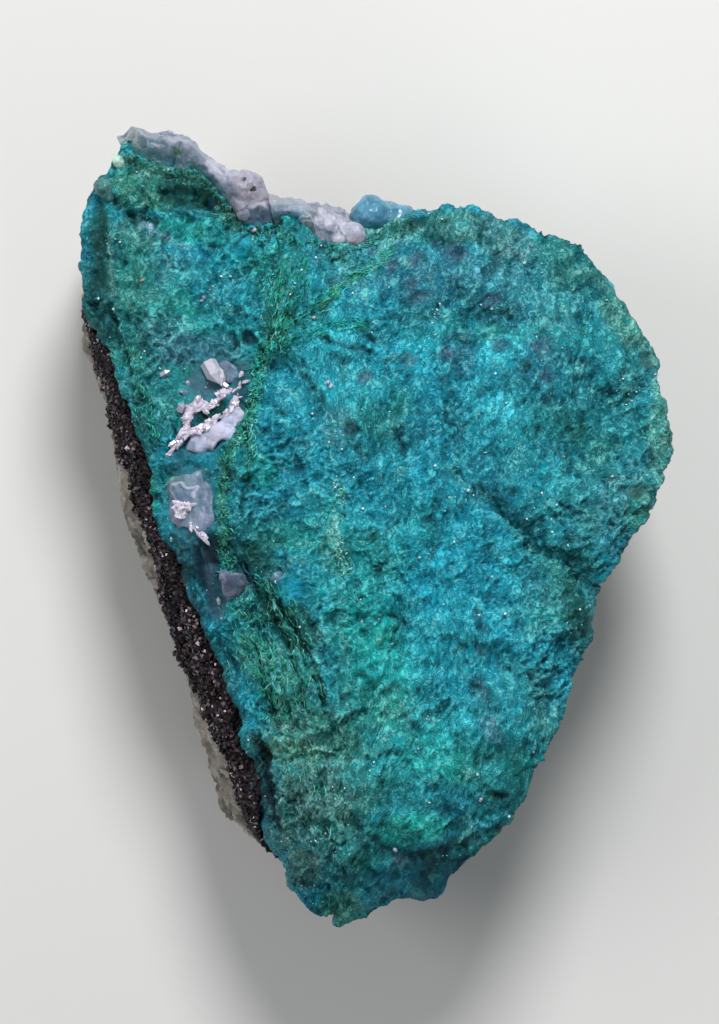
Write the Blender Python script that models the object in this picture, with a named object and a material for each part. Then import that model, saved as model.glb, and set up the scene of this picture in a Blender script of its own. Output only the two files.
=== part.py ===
"""Chrysocolla specimen: one broken lump of rock, lying on its back with the blue-green break upwards.

The whole lump grew together, so it is one closed solid. +Y runs to the pale peak, +X to the rounded
flank and +Z up out of the break. The origin is at the middle of the bottom. Sizes are in millimetres
here and become metres when the mesh is placed.
"""

from math import cos, pi, radians, sin

import bmesh
import bpy
import numpy as np

NAME = "chrysocolla_specimen"
MM = 0.001

# The break, the uppermost face
BREAK_LEVEL = 23.5  # mean height of the break above the base
DOME_RISE = 2.6  # how far the right-hand mass swells above that
DOME_CENTRE = (9.0, -7.0)
DOME_REACH = (20.0, 24.0)
FACET_SLOPE = 0.17  # fall of the left-hand facet, for each millimetre away from the ridge
RIDGE_STEP = 0.9  # height of the step along the ridge
RIDGE_SOFTNESS = 1.8  # width of that step
TAIL_START = -26.0  # the tail turns down below this Y
TAIL_DROP = 5.0
TAIL_LENGTH = 14.0
EDGE_ROLL = 1.7  # rounding of the break's outer edge
EDGE_POWER = 9
LENS_CENTRE = (-17.8, 9.5)  # hollow that holds the quartz lens
LENS_REACH = (3.4, 6.5)
LENS_DEPTH = 0.9

# The crease across the right-hand mass, with the upper lobe standing above it
CREASE_START = (8.0, 5.25)
CREASE_END = (22.2, -5.75)
CREASE_DEPTH = 0.8
CREASE_WIDTH = 1.3
LOBE_STEP = 1.0
LOBE_FADE = 10.0

# The sides, from the break's edge out or in to the host rock and down to the base
HOST_LEVEL = 5.0  # height of the host rock's widest line
SIDE_STEPS = 7  # rings between the break's edge and that line
SIDE_SWELL = 0.5
LEDGE_POWER = 0.5  # where the host rock stands out past the break, the side runs out this fast below the edge
FOOT_RINGS = ((0.45, 0.4), (0.12, 1.0), (0.0, 1.7))  # (share of HOST_LEVEL, inset in mm)
FACET_START = 3.0  # the flat breaks of the sides fade in over this depth below the break's edge
# Flat breaks of the sides, which lean in towards the base: (heading in degrees, lean in degrees,
# height where the break meets the straight side)
SIDE_FACETS = (
    (8.0, 27.0, 13.5),
    (46.0, 24.0, 15.5),
    (84.0, 16.0, 9.0),
    (126.0, 28.0, 12.0),
    (-26.0, 25.0, 12.5),
    (-56.0, 33.0, 14.0),
    (-98.0, 42.0, 13.0),
    (196.0, 20.0, 3.4),
)
GRID = 46  # cells across the break, in each direction

WAVE_WARP = 1.6  # how far the waves of the broken surface wander sideways
# Waves of the broken surface: (height, wavelength, heading in degrees, phase in radians)
BREAK_WAVES = (
    (0.42, 17.0, 25.0, 0.4),
    (0.34, 12.5, 100.0, 2.1),
    (0.26, 8.3, 150.0, 4.0),
    (0.20, 6.1, 62.0, 1.2),
    (0.15, 4.7, 8.0, 5.1),
)
# Waves of the sides: (height, wavelength down the side, waves round the lump, phase in radians)
SIDE_WAVES = (
    (0.35, 13.0, 7.0, 0.8),
    (0.28, 8.5, 11.0, 2.9),
    (0.20, 5.1, 17.0, 4.4),
)

# Smooth bulbs standing out behind the notch in the top edge: (x, y, z, radius)
BULBS = (
    (-0.3, 31.7, 17.6, 2.15),
    (2.9, 31.1, 17.0, 1.85),
    (-3.1, 31.0, 15.6, 1.5),
    (1.4, 30.6, 14.0, 1.9),
    (5.6, 30.9, 14.6, 1.6),
    (-6.8, 31.6, 14.2, 1.9),
)
BULB_SEGMENTS = 16

# Edge of the break, clockwise from the peak
BREAK_OUTLINE = (
    (-23.9, 40.3), (-21.7, 39.3), (-20.6, 39.5), (-18.6, 38.9), (-17.5, 38.1), (-15.7, 36.5),
    (-15.0, 35.6), (-13.2, 35.9), (-12.0, 35.4), (-11.0, 34.4), (-10.7, 32.6), (-8.5, 32.3),
    (-6.1, 32.2), (-4.9, 31.2), (-3.8, 30.7), (-2.2, 30.6), (-0.6, 29.9), (1.0, 30.2),
    (3.2, 30.9), (5.5, 31.3), (6.8, 32.1), (9.1, 31.9), (12.6, 30.8), (14.5, 30.6),
    (16.4, 29.9), (18.7, 28.9), (20.8, 27.7), (22.1, 26.3), (22.9, 24.9), (24.0, 23.7),
    (25.0, 22.1), (26.6, 19.9), (28.2, 17.1), (28.8, 16.4), (28.3, 14.2), (29.1, 11.9),
    (29.9, 9.4), (29.5, 8.5), (29.5, 6.6), (28.4, 4.4), (27.0, 1.4), (25.4, -1.2),
    (22.3, -5.5), (21.9, -7.0), (21.4, -9.6), (20.4, -13.6), (19.4, -15.9), (17.8, -20.5),
    (15.9, -24.4), (14.2, -27.9), (13.1, -29.6), (10.9, -31.8), (9.0, -34.0), (7.6, -35.1),
    (6.9, -36.4), (6.0, -37.4), (3.5, -37.2), (2.1, -37.6), (1.4, -38.3), (-1.9, -39.9),
    (-3.9, -40.3), (-6.5, -38.9), (-8.4, -36.6), (-8.8, -34.4), (-10.0, -32.2), (-11.3, -26.8),
    (-12.6, -21.7), (-14.4, -15.0), (-16.9, -10.7), (-18.4, -5.9), (-19.6, -2.9), (-21.4, -0.6),
    (-22.3, 4.3), (-23.1, 7.2), (-24.1, 10.4), (-26.0, 17.4), (-28.2, 20.6), (-29.3, 22.3),
    (-29.2, 26.1), (-29.9, 28.8), (-29.1, 32.2), (-28.7, 34.3), (-26.3, 37.6), (-25.0, 39.4),
)

# Widest line of the host rock low down, clockwise from below the peak
HOST_OUTLINE = (
    (-22.5, 37.2), (-17.0, 35.2), (-12.0, 32.6), (-6.0, 30.2), (0.0, 28.8), (6.0, 29.4),
    (13.0, 28.2), (19.5, 25.0), (24.0, 19.8), (26.6, 13.5), (26.4, 7.6), (23.6, 1.6),
    (20.0, -4.8), (18.0, -12.0), (15.2, -19.6), (11.2, -26.6), (6.6, -31.6), (1.6, -34.2),
    (-4.0, -35.6), (-8.6, -34.2), (-12.2, -32.0), (-14.6, -30.4), (-16.2, -27.0), (-17.2, -22.8),
    (-18.7, -16.7), (-20.0, -12.3), (-21.8, -7.3), (-23.4, -3.4), (-25.6, 2.0), (-26.7, 5.8),
    (-27.0, 10.4), (-27.8, 13.8), (-29.0, 16.8), (-29.9, 20.2), (-29.0, 25.0), (-28.0, 30.5),
    (-26.0, 34.6),
)

# Line of the ridge between the left-hand facet and the right-hand mass, from the tail up: (x, y)
RIDGE_LINE = (
    (-3.5, -40.0), (-3.0, -29.2), (-3.5, -23.2), (-5.3, -17.2), (-7.2, -13.2), (-9.5, -7.8),
    (-13.0, -4.8), (-14.9, -1.2), (-14.7, 6.8), (-12.8, 10.8), (-10.7, 18.8), (-11.0, 22.8),
    (-7.5, 29.8),
)
CENTRE = (-2.0, -1.0)  # where the outlines' angles are counted from


def outline_reach(outline, angle):
    """Distance from CENTRE to an outline, at each angle."""
    points = np.array(outline) - CENTRE
    angles = np.arctan2(points[:, 1], points[:, 0])
    order = np.argsort(angles)
    return np.interp(angle, angles[order], np.hypot(*points.T)[order], period=2 * pi)


def around_centre(reach, angle):
    """The x and y that lie that far from CENTRE."""
    return CENTRE[0] + reach * np.cos(angle), CENTRE[1] + reach * np.sin(angle)


def smooth_step(value):
    """0 below 0, 1 above 1 and a smooth rise between."""
    share = np.clip(value, 0.0, 1.0)
    return share * share * (3.0 - 2.0 * share)


def break_waves(x, y):
    """Broad lumps of the broken surface."""
    total = np.zeros_like(x)
    bent_x = x + WAVE_WARP * np.sin(y / 5.3 + 0.7)
    bent_y = y + WAVE_WARP * np.sin(x / 6.1 + 2.2)
    for height, wavelength, heading, phase in BREAK_WAVES:
        along = bent_x * cos(radians(heading)) + bent_y * sin(radians(heading))
        total += height * np.sin(2.0 * pi * along / wavelength + phase)
    return total


def crease(x, y):
    """The groove across the right-hand mass and the lobe's step above it."""
    start = np.array(CREASE_START)
    run = np.array(CREASE_END) - start
    length = np.hypot(*run)
    forward = run / length
    along = (x - start[0]) * forward[0] + (y - start[1]) * forward[1]
    above = (y - start[1]) * forward[0] - (x - start[0]) * forward[1]
    present = smooth_step((along + 3.0) / 6.0)
    groove = -CREASE_DEPTH * np.exp(-((above / CREASE_WIDTH) ** 2))
    lobe = LOBE_STEP * smooth_step(above / CREASE_WIDTH) * np.exp(-np.clip(above, 0, None) / LOBE_FADE)
    return (groove + lobe) * present


def break_height(x, y, share):
    """Height of the break at x and y; share runs from 0 at the middle to 1 at the edge."""
    level = BREAK_LEVEL + break_waves(x, y) + crease(x, y)
    across = (x - DOME_CENTRE[0]) / DOME_REACH[0]
    along = (y - DOME_CENTRE[1]) / DOME_REACH[1]
    level += DOME_RISE * np.exp(-(across**2) - along**2)
    ridge = np.array(RIDGE_LINE)
    beyond = np.interp(y, ridge[:, 1], ridge[:, 0]) - x
    level -= RIDGE_STEP * smooth_step(beyond / RIDGE_SOFTNESS + 0.5)
    level -= FACET_SLOPE * np.clip(beyond, 0.0, None)
    lens = ((x - LENS_CENTRE[0]) / LENS_REACH[0]) ** 2 + ((y - LENS_CENTRE[1]) / LENS_REACH[1]) ** 2
    level -= LENS_DEPTH * np.exp(-lens)
    level -= TAIL_DROP * np.clip((TAIL_START - y) / TAIL_LENGTH, 0.0, None) ** 2
    return level - EDGE_ROLL * share**EDGE_POWER


def disc_share_and_angle(u, v):
    """Concentric squares turned into circles: share is the circle's size, angle the place round it."""
    share = np.maximum(np.abs(u), np.abs(v))
    safe = np.where(share > 0, share, 1.0)
    side = np.where(np.abs(u) >= np.abs(v), v / safe, u / safe) * pi / 4
    east_west = np.where(u > 0, side, pi - side)
    north_south = np.where(v > 0, pi / 2 - side, 1.5 * pi + side)
    return share, np.where(np.abs(u) >= np.abs(v), east_west, north_south)


def side_waves(angle, height):
    """Lumps of the sides."""
    total = np.zeros_like(angle)
    for size, wavelength, turns, phase in SIDE_WAVES:
        total += size * np.sin(turns * angle + 2.0 * pi * height / wavelength + phase)
    return total


def facet_reach(angle, height):
    """Distance from CENTRE to the nearest flat break of the sides."""
    nearest = np.full_like(angle, 1000.0)
    for heading, lean, meeting in SIDE_FACETS:
        turn = radians(heading)
        straight = max(outline_reach(BREAK_OUTLINE, turn), outline_reach(HOST_OUTLINE, turn))
        flat = straight - (meeting - height) * np.tan(radians(lean))
        facing = np.cos(angle - turn)
        nearest = np.where(facing > 0.2, np.minimum(nearest, flat / np.maximum(facing, 0.2)), nearest)
    return nearest


def coordinates(verts):
    """The x, y and z of some vertices as three arrays."""
    return np.array([vert.co for vert in verts]).T


def shape_break(mesh):
    """Turns a flat square grid into the break, inside its outline."""
    u, v, _ = coordinates(mesh.verts)
    share, angle = disc_share_and_angle(u, v)
    x, y = around_centre(share * outline_reach(BREAK_OUTLINE, angle), angle)
    z = break_height(x, y, share)
    for vert, place in zip(mesh.verts, np.stack([x, y, z], axis=1)):
        vert.co = place


def edge_loop(mesh):
    """The open edges of the mesh."""
    return [edge for edge in mesh.edges if edge.is_boundary]


def extrude_ring(mesh, loop):
    """Extrudes an edge loop and returns the new loop with its vertices."""
    made = bmesh.ops.extrude_edge_only(mesh, edges=loop)["geom"]
    new_verts = [item for item in made if isinstance(item, bmesh.types.BMVert)]
    new_loop = [item for item in made if isinstance(item, bmesh.types.BMEdge) and item.is_boundary]
    return new_loop, new_verts


def shape_sides(mesh):
    """Draws the sides down from the break's edge, ring by ring, to the foot."""
    loop = edge_loop(mesh)
    rim = {vert for edge in loop for vert in edge.verts}
    rim_x, rim_y, rim_z = coordinates(rim)
    rim_angle = np.arctan2(rim_y - CENTRE[1], rim_x - CENTRE[0])
    order = np.argsort(rim_angle)
    shares = [(step / SIDE_STEPS, None) for step in range(1, SIDE_STEPS + 1)]
    for share, foot in shares + [(1.0, ring) for ring in FOOT_RINGS]:
        loop, verts = extrude_ring(mesh, loop)
        x, y, _ = coordinates(verts)
        angle = np.arctan2(y - CENTRE[1], x - CENTRE[0])
        top = np.interp(angle, rim_angle[order], rim_z[order], period=2 * pi)
        reach = outline_reach(BREAK_OUTLINE, angle)
        beyond = outline_reach(HOST_OUTLINE, angle) - reach
        reach += np.minimum(beyond, 0.0) * share + np.maximum(beyond, 0.0) * share**LEDGE_POWER
        if foot is None:
            height = top + (HOST_LEVEL - top) * share
            reach += SIDE_SWELL * np.sin(pi * share)
        else:
            height = np.full_like(angle, HOST_LEVEL * foot[0])
            reach -= foot[1]
        below = smooth_step((top - height - 1.0) / FACET_START)
        cut = np.minimum(reach, facet_reach(angle, height))
        reach += (cut - reach + side_waves(angle, height)) * below
        x, y = around_centre(reach, angle)
        for vert, place in zip(verts, np.stack([x, y, height], axis=1)):
            vert.co = place
    return loop


def stone_material():
    """Blue-green chrysocolla."""
    material = bpy.data.materials.new("chrysocolla")
    material.use_nodes = True
    surface = material.node_tree.nodes["Principled BSDF"]
    surface.inputs["Base Color"].default_value = (0.02, 0.22, 0.24, 1.0)
    surface.inputs["Roughness"].default_value = 0.45
    surface.inputs["Metallic"].default_value = 0.0
    return material


def object_from(mesh, name, collection):
    """Writes a bmesh, in millimetres, into a new object, in metres."""
    bmesh.ops.scale(mesh, vec=(MM, MM, MM), verts=mesh.verts)
    data = bpy.data.meshes.new(name)
    mesh.to_mesh(data)
    mesh.free()
    made = bpy.data.objects.new(name, data)
    collection.objects.link(made)
    return made


def add_bulb(stone, number, bulb, guides):
    """Joins one smooth bulb to the stone."""
    x, y, z, radius = bulb
    ball = bmesh.new()
    bmesh.ops.create_uvsphere(ball, u_segments=BULB_SEGMENTS, v_segments=BULB_SEGMENTS // 2, radius=radius)
    bmesh.ops.translate(ball, vec=(x, y, z), verts=ball.verts)
    guide = object_from(ball, f"bulb_{number}", guides)
    guide.hide_render = True
    guide.display_type = "WIRE"
    union = stone.modifiers.new(f"join bulb {number}", "BOOLEAN")
    union.operation = "UNION"
    union.solver = "EXACT"
    union.object = guide


def build():
    """Makes the stone."""
    for old in list(bpy.data.objects):
        bpy.data.objects.remove(old)
    collection = bpy.data.collections.new(NAME)
    guides = bpy.data.collections.new("guides")
    for made in (collection, guides):
        bpy.context.scene.collection.children.link(made)
    mesh = bmesh.new()
    bmesh.ops.create_grid(mesh, x_segments=GRID, y_segments=GRID, size=1.0)
    shape_break(mesh)
    foot = shape_sides(mesh)
    bmesh.ops.contextual_create(mesh, geom=foot)
    bmesh.ops.triangulate(mesh, faces=mesh.faces, quad_method="BEAUTY", ngon_method="BEAUTY")
    bmesh.ops.recalc_face_normals(mesh, faces=mesh.faces)
    stone = object_from(mesh, NAME, collection)
    stone.data.materials.append(stone_material())
    for number, bulb in enumerate(BULBS, start=1):
        add_bulb(stone, number, bulb, guides)


build()
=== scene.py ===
from math import cos, pi, radians, sin, tan

import bmesh
import bpy
import numpy as np
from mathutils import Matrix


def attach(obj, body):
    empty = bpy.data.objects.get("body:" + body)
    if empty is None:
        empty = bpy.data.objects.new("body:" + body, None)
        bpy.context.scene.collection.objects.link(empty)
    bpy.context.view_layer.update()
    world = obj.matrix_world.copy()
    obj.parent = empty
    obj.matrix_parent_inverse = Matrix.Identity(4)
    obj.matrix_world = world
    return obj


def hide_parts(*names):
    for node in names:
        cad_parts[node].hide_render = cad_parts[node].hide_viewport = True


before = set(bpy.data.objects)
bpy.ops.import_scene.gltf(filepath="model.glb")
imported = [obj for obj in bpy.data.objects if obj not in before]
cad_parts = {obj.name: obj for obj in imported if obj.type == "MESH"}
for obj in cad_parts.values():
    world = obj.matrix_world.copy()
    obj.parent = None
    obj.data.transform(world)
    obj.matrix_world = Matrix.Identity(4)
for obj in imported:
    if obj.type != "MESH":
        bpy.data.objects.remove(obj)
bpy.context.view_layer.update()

lumpNode = "chrysocolla_specimen"
mm = 0.001  # everything below is in millimetres until a mesh is written

# The lump's own shape, the same as that of the solid part

lump = {
    "centre": (-2.0, -1.0),  # outlines are counted round this point
    "breakLevel": 23.5,
    "domeRise": 2.6, "domeCentre": (9.0, -7.0), "domeReach": (20.0, 24.0),
    "facetSlope": 0.17, "ridgeStep": 0.9, "ridgeSoftness": 1.8,
    "tailStart": -26.0, "tailDrop": 5.0, "tailLength": 14.0,
    "edgeRoll": 1.7, "edgePower": 9,
    "lensCentre": (-17.8, 9.5), "lensReach": (3.4, 6.5), "lensDepth": 0.9,
    "creaseStart": (8.0, 5.25), "creaseEnd": (22.2, -5.75),
    "creaseDepth": 0.8, "creaseWidth": 1.3, "lobeStep": 1.0, "lobeFade": 10.0,
    "foot": ((0.0, 1.7), (0.12, 1.0), (0.45, 0.4), (1.0, 0.0)),  # share of the host level, inset
    "hostLevel": 5.0, "ledgePower": 0.5,  # host rock that stands out past the break spreads this fast
    "crustLevel": 8.5, "crustWander": 2.2,  # where the chrysocolla ends
    "sideSwell": 0.5, "facetStart": 3.0, "waveWarp": 1.6,
    # flat breaks of the sides: heading, lean, height where each meets the straight side
    "sideFacets": ((8, 27, 13.5), (46, 24, 15.5), (84, 16, 9.0), (126, 28, 12.0),
                   (-26, 25, 12.5), (-56, 33, 14.0), (-98, 42, 13.0), (196, 20, 3.4)),
    # height, wavelength, heading, phase
    "breakWaves": ((0.42, 17.0, 25, 0.4), (0.34, 12.5, 100, 2.1), (0.26, 8.3, 150, 4.0),
                   (0.20, 6.1, 62, 1.2), (0.15, 4.7, 8, 5.1)),
    # height, wavelength down the side, waves round the lump, phase
    "sideWaves": ((0.35, 13.0, 7, 0.8), (0.28, 8.5, 11, 2.9), (0.20, 5.1, 17, 4.4)),
}

# edge of the break, clockwise from the peak
breakOutline = np.array((
    (-23.9, 40.3), (-21.7, 39.3), (-20.6, 39.5), (-18.6, 38.9), (-17.5, 38.1), (-15.7, 36.5), (-15, 35.6),
    (-13.2, 35.9), (-12, 35.4), (-11, 34.4), (-10.7, 32.6), (-8.5, 32.3), (-6.1, 32.2), (-4.9, 31.2),
    (-3.8, 30.7), (-2.2, 30.6), (-0.6, 29.9), (1, 30.2), (3.2, 30.9), (5.5, 31.3), (6.8, 32.1), (9.1, 31.9),
    (12.6, 30.8), (14.5, 30.6), (16.4, 29.9), (18.7, 28.9), (20.8, 27.7), (22.1, 26.3), (22.9, 24.9),
    (24, 23.7), (25, 22.1), (26.6, 19.9), (28.2, 17.1), (28.8, 16.4), (28.3, 14.2), (29.1, 11.9),
    (29.9, 9.4), (29.5, 8.5), (29.5, 6.6), (28.4, 4.4), (27, 1.4), (25.4, -1.2), (22.3, -5.5), (21.9, -7),
    (21.4, -9.6), (20.4, -13.6), (19.4, -15.9), (17.8, -20.5), (15.9, -24.4), (14.2, -27.9), (13.1, -29.6),
    (10.9, -31.8), (9, -34), (7.6, -35.1), (6.9, -36.4), (6, -37.4), (3.5, -37.2), (2.1, -37.6),
    (1.4, -38.3), (-1.9, -39.9), (-3.9, -40.3), (-6.5, -38.9), (-8.4, -36.6), (-8.8, -34.4), (-10, -32.2),
    (-11.3, -26.8), (-12.6, -21.7), (-14.4, -15), (-16.9, -10.7), (-18.4, -5.9), (-19.6, -2.9),
    (-21.4, -0.6), (-22.3, 4.3), (-23.1, 7.2), (-24.1, 10.4), (-26, 17.4), (-28.2, 20.6), (-29.3, 22.3),
    (-29.2, 26.1), (-29.9, 28.8), (-29.1, 32.2), (-28.7, 34.3), (-26.3, 37.6), (-25, 39.4),
))
notch, tailTip = (-6.1, 32.2), (-3.9, -40.3)  # two of its points
# widest line of the host rock, clockwise from below the peak
hostOutline = np.array((
    (-22.5, 37.2), (-17, 35.2), (-12, 32.6), (-6, 30.2), (0, 28.8), (6, 29.4), (13, 28.2), (19.5, 25),
    (24, 19.8), (26.6, 13.5), (26.4, 7.6), (23.6, 1.6), (20, -4.8), (18, -12), (15.2, -19.6), (11.2, -26.6),
    (6.6, -31.6), (1.6, -34.2), (-4, -35.6), (-8.6, -34.2), (-12.2, -32), (-14.6, -30.4), (-16.2, -27),
    (-17.2, -22.8), (-18.7, -16.7), (-20, -12.3), (-21.8, -7.3), (-23.4, -3.4), (-25.6, 2), (-26.7, 5.8),
    (-27, 10.4), (-27.8, 13.8), (-29, 16.8), (-29.9, 20.2), (-29, 25), (-28, 30.5), (-26, 34.6),
))
darkStretch = (141, 252)  # from which angle to which the dark crust climbs to the break, in degrees
# ridge between the left-hand facet and the right-hand mass, from the tail up
ridgeLine = np.array((
    (-3.5, -40), (-3, -29.2), (-3.5, -23.2), (-5.3, -17.2), (-7.2, -13.2), (-9.5, -7.8), (-13, -4.8),
    (-14.9, -1.2), (-14.7, 6.8), (-12.8, 10.8), (-10.7, 18.8), (-11, 22.8), (-7.5, 29.8),
))
# where the dark crust gives way to the grey rock down the left-hand side, from the top down
greyLine = np.array((
    (-29.3, 21.5), (-28.6, 18.5), (-27.9, 15.5), (-26.9, 12.9), (-26.2, 10.5), (-25.4, 8.4), (-24.6, 5.8),
    (-24.2, 3.7), (-23.9, 1.3), (-22.7, -0.7), (-22.3, -2.9), (-21.7, -4.8), (-20.7, -6.4), (-20.4, -9.2),
    (-19.2, -11.9), (-18.2, -14.4), (-17.6, -16.5), (-16.9, -18.5), (-15.7, -21.1), (-14.6, -22.6),
    (-14.1, -25.1), (-13.6, -27.2), (-12.6, -30), (-11.1, -31.1),
))


# Nought below nought, one above one, an S-shaped rise between
def ease(value):
    share = np.clip(value, 0.0, 1.0)
    return share * share * (3.0 - 2.0 * share)


# A value at a share of the way between two
def between(ends, share):
    return ends[0] + (ends[1] - ends[0]) * share


# Distance from a centre to an outline at each angle: radius against angle, joined by straight lines
def reachOf(outline, angle, centre=lump["centre"]):
    fromCentre = outline - np.array(centre)
    angles = np.arctan2(fromCentre[:, 1], fromCentre[:, 0])
    order = np.argsort(angles)
    return np.interp(angle, angles[order], np.hypot(*fromCentre.T)[order], period=2 * pi)


# Number of the break outline's point nearest to a place
def cornerAt(place):
    return int(np.argmin(np.abs(breakOutline - place).sum(1)))


# Angle and distance of points from the lump's centre
def polarOf(x, y):
    fromX, fromY = x - lump["centre"][0], y - lump["centre"][1]
    return np.arctan2(fromY, fromX), np.hypot(fromX, fromY)


# Points from their coordinates
def pointsOf(x, y, z):
    return np.stack([x, y, z + 0 * x], axis=-1)


# Points at angles and distances round the lump's centre
def placeRound(angle, reach, height):
    return pointsOf(lump["centre"][0] + reach * np.cos(angle), lump["centre"][1] + reach * np.sin(angle),
                    height)


# How far left of the ridge each point lies
def beyondRidge(x, y):
    return np.interp(y, ridgeLine[:, 1], ridgeLine[:, 0]) - x


# Groove along a line, and above it a step that fades with distance
def creaseHeight(x, y):
    start = np.array(lump["creaseStart"])
    run = np.array(lump["creaseEnd"]) - start
    forward = run / np.hypot(*run)
    along = (x - start[0]) * forward[0] + (y - start[1]) * forward[1]
    above = (y - start[1]) * forward[0] - (x - start[0]) * forward[1]
    groove = -lump["creaseDepth"] * np.exp(-((above / lump["creaseWidth"]) ** 2))
    lobe = lump["lobeStep"] * ease(above / lump["creaseWidth"])
    lobe *= np.exp(-np.clip(above, 0, None) / lump["lobeFade"])
    return (groove + lobe) * ease((along + 3.0) / 6.0)


# Height of the break: level + warped sine waves + crease + dome - ridge step - facet slope - lens
# hollow - tail drop - rolled edge
def breakHeight(x, y):
    level = lump["breakLevel"] + creaseHeight(x, y)
    bentX = x + lump["waveWarp"] * np.sin(y / 5.3 + 0.7)
    bentY = y + lump["waveWarp"] * np.sin(x / 6.1 + 2.2)
    for height, wavelength, heading, phase in lump["breakWaves"]:
        along = bentX * cos(radians(heading)) + bentY * sin(radians(heading))
        level = level + height * np.sin(2 * pi * along / wavelength + phase)
    domeX = (x - lump["domeCentre"][0]) / lump["domeReach"][0]
    domeY = (y - lump["domeCentre"][1]) / lump["domeReach"][1]
    level += lump["domeRise"] * np.exp(-(domeX**2) - domeY**2)
    beyond = beyondRidge(x, y)
    level -= lump["ridgeStep"] * ease(beyond / lump["ridgeSoftness"] + 0.5)
    level -= lump["facetSlope"] * np.clip(beyond, 0.0, None)
    lensX = (x - lump["lensCentre"][0]) / lump["lensReach"][0]
    lensY = (y - lump["lensCentre"][1]) / lump["lensReach"][1]
    level -= lump["lensDepth"] * np.exp(-(lensX**2) - lensY**2)
    level -= lump["tailDrop"] * np.clip((lump["tailStart"] - y) / lump["tailLength"], 0.0, None) ** 2
    angle, reach = polarOf(x, y)
    share = np.clip(reach / reachOf(breakOutline, angle), 0.0, 1.0)
    return level - lump["edgeRoll"] * share ** lump["edgePower"]


# Reach of the sides: from the break's outline in to the host's by even steps, or out to it by a root of
# the steps, swollen by half a sine, cut by flat facets that lean in, with sine waves round and down
def sideReach(angle, height, top):
    share = np.clip((top - height) / (top - lump["hostLevel"]), 0.0, 1.0)
    reach = reachOf(breakOutline, angle)
    beyond = reachOf(hostOutline, angle) - reach
    reach = reach + np.minimum(beyond, 0.0) * share
    reach = reach + np.maximum(beyond, 0.0) * share ** lump["ledgePower"]
    reach = reach + lump["sideSwell"] * np.sin(pi * share)
    reach = reach - np.interp(height / lump["hostLevel"], *np.array(lump["foot"]).T)
    cut = reach
    for heading, lean, meeting in lump["sideFacets"]:
        turn = radians(heading)
        straight = max(reachOf(breakOutline, turn), reachOf(hostOutline, turn))
        flat = straight - (meeting - height) * tan(radians(lean))
        facing = np.cos(angle - turn)
        cut = np.where(facing > 0.2, np.minimum(cut, flat / np.maximum(facing, 0.2)), cut)
    for size, wavelength, turns, phase in lump["sideWaves"]:
        cut = cut + size * np.sin(turns * angle + 2 * pi * height / wavelength + phase)
    return reach + (cut - reach) * ease((top - height - 1.0) / lump["facetStart"])


# One inside a stretch of angles, nought outside, with soft ends (all in degrees)
def sector(angle, first, last, soft):
    turned = np.degrees(angle) % 360
    return ease((turned - first) / soft + 0.5) * ease((last - turned) / soft + 0.5)


# One along the left-hand side, where the dark crust climbs to the edge of the break
def darkSide(angle):
    return sector(angle, *darkStretch, 5.0)


# Height of the line between dark crust and grey rock: where the side, seen from above, reaches greyLine
def greyLevel(angle, top):
    inner, outer = reachOf(breakOutline, angle), reachOf(hostOutline, angle)
    share = np.clip((reachOf(greyLine, angle) - inner) / np.maximum(outer - inner, 0.5), 0.25, 0.97)
    return top - share ** (1 / lump["ledgePower"]) * (top - lump["hostLevel"])


# Noise

# Folds whole-number cells into even random numbers from 0 to 1
def scatter(cells, seed):
    mixed = cells[:, 0] * 73856093 ^ cells[:, 1] * 19349663 ^ cells[:, 2] * 83492791
    mixed = mixed ^ (seed + 11) * 15485863
    mixed = (mixed ^ (mixed >> 13)) * 1274126177
    return ((mixed ^ (mixed >> 16)) & 0xFFFFFF) / 0xFFFFFF


# Three random numbers for each cell
def scatterThree(cells, seed):
    return np.stack([scatter(cells, seed + axis) for axis in range(3)], axis=1)


# Every whole-number step from a cell to the cells round it, or to the corners of a cell
def cellSteps(*steps):
    return [np.array((i, j, k)) for i in steps for j in steps for k in steps]


# Smooth noise from about -1 to 1: each corner of a grid holds a random slope, blended by an S curve
def noise(points, size, seed):
    scaled = points / size
    cell = np.floor(scaled).astype(np.int64)
    part = scaled - cell
    blend = part**3 * (part * (part * 6 - 15) + 10)
    total = np.zeros(len(points))
    for corner in cellSteps(0, 1):
        at = cell + corner
        away = part - corner
        value = sum((scatter(at, seed + axis) * 2 - 1) * away[:, axis] for axis in range(3))
        total += value * np.prod(np.where(corner == 1, blend, 1 - blend), axis=1)
    return total * 1.7


# Noise added to itself at halved sizes
def layers(points, size, count, seed, fade=0.5):
    total, weight = np.zeros(len(points)), 1.0
    for layer in range(count):
        total += weight * noise(points, size / 2**layer, seed + 7 * layer)
        weight *= fade
    return total


# Sharp crumpled crests: each layer folds noise at its zeros, and adds only where the layer before stands up
def ridged(points, size, count, seed):
    total, carried = np.zeros(len(points)), np.ones(len(points))
    for layer in range(count):
        fold = np.clip(1 - 2.2 * np.abs(noise(points, size / 2**layer, seed + 7 * layer)), 0, 1) ** 2
        total += 0.6**layer * fold * carried
        carried = 0.25 + 0.75 * fold
    return total / 1.6


# Moves points sideways by noise, to bend whatever is read at them
def bend(points, amount, size, seed):
    return points + amount * np.stack([noise(points, size, seed + 31 * axis) for axis in range(3)], axis=1)


# For each of the cells round each point: the cell, and the way there from the random point it holds
def nearPoints(scaled, seed):
    cell = np.floor(scaled).astype(np.int64)
    for step in cellSteps(-1, 0, 1):
        at = cell + step
        yield at, scaled - (at + scatterThree(at, seed))


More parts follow.
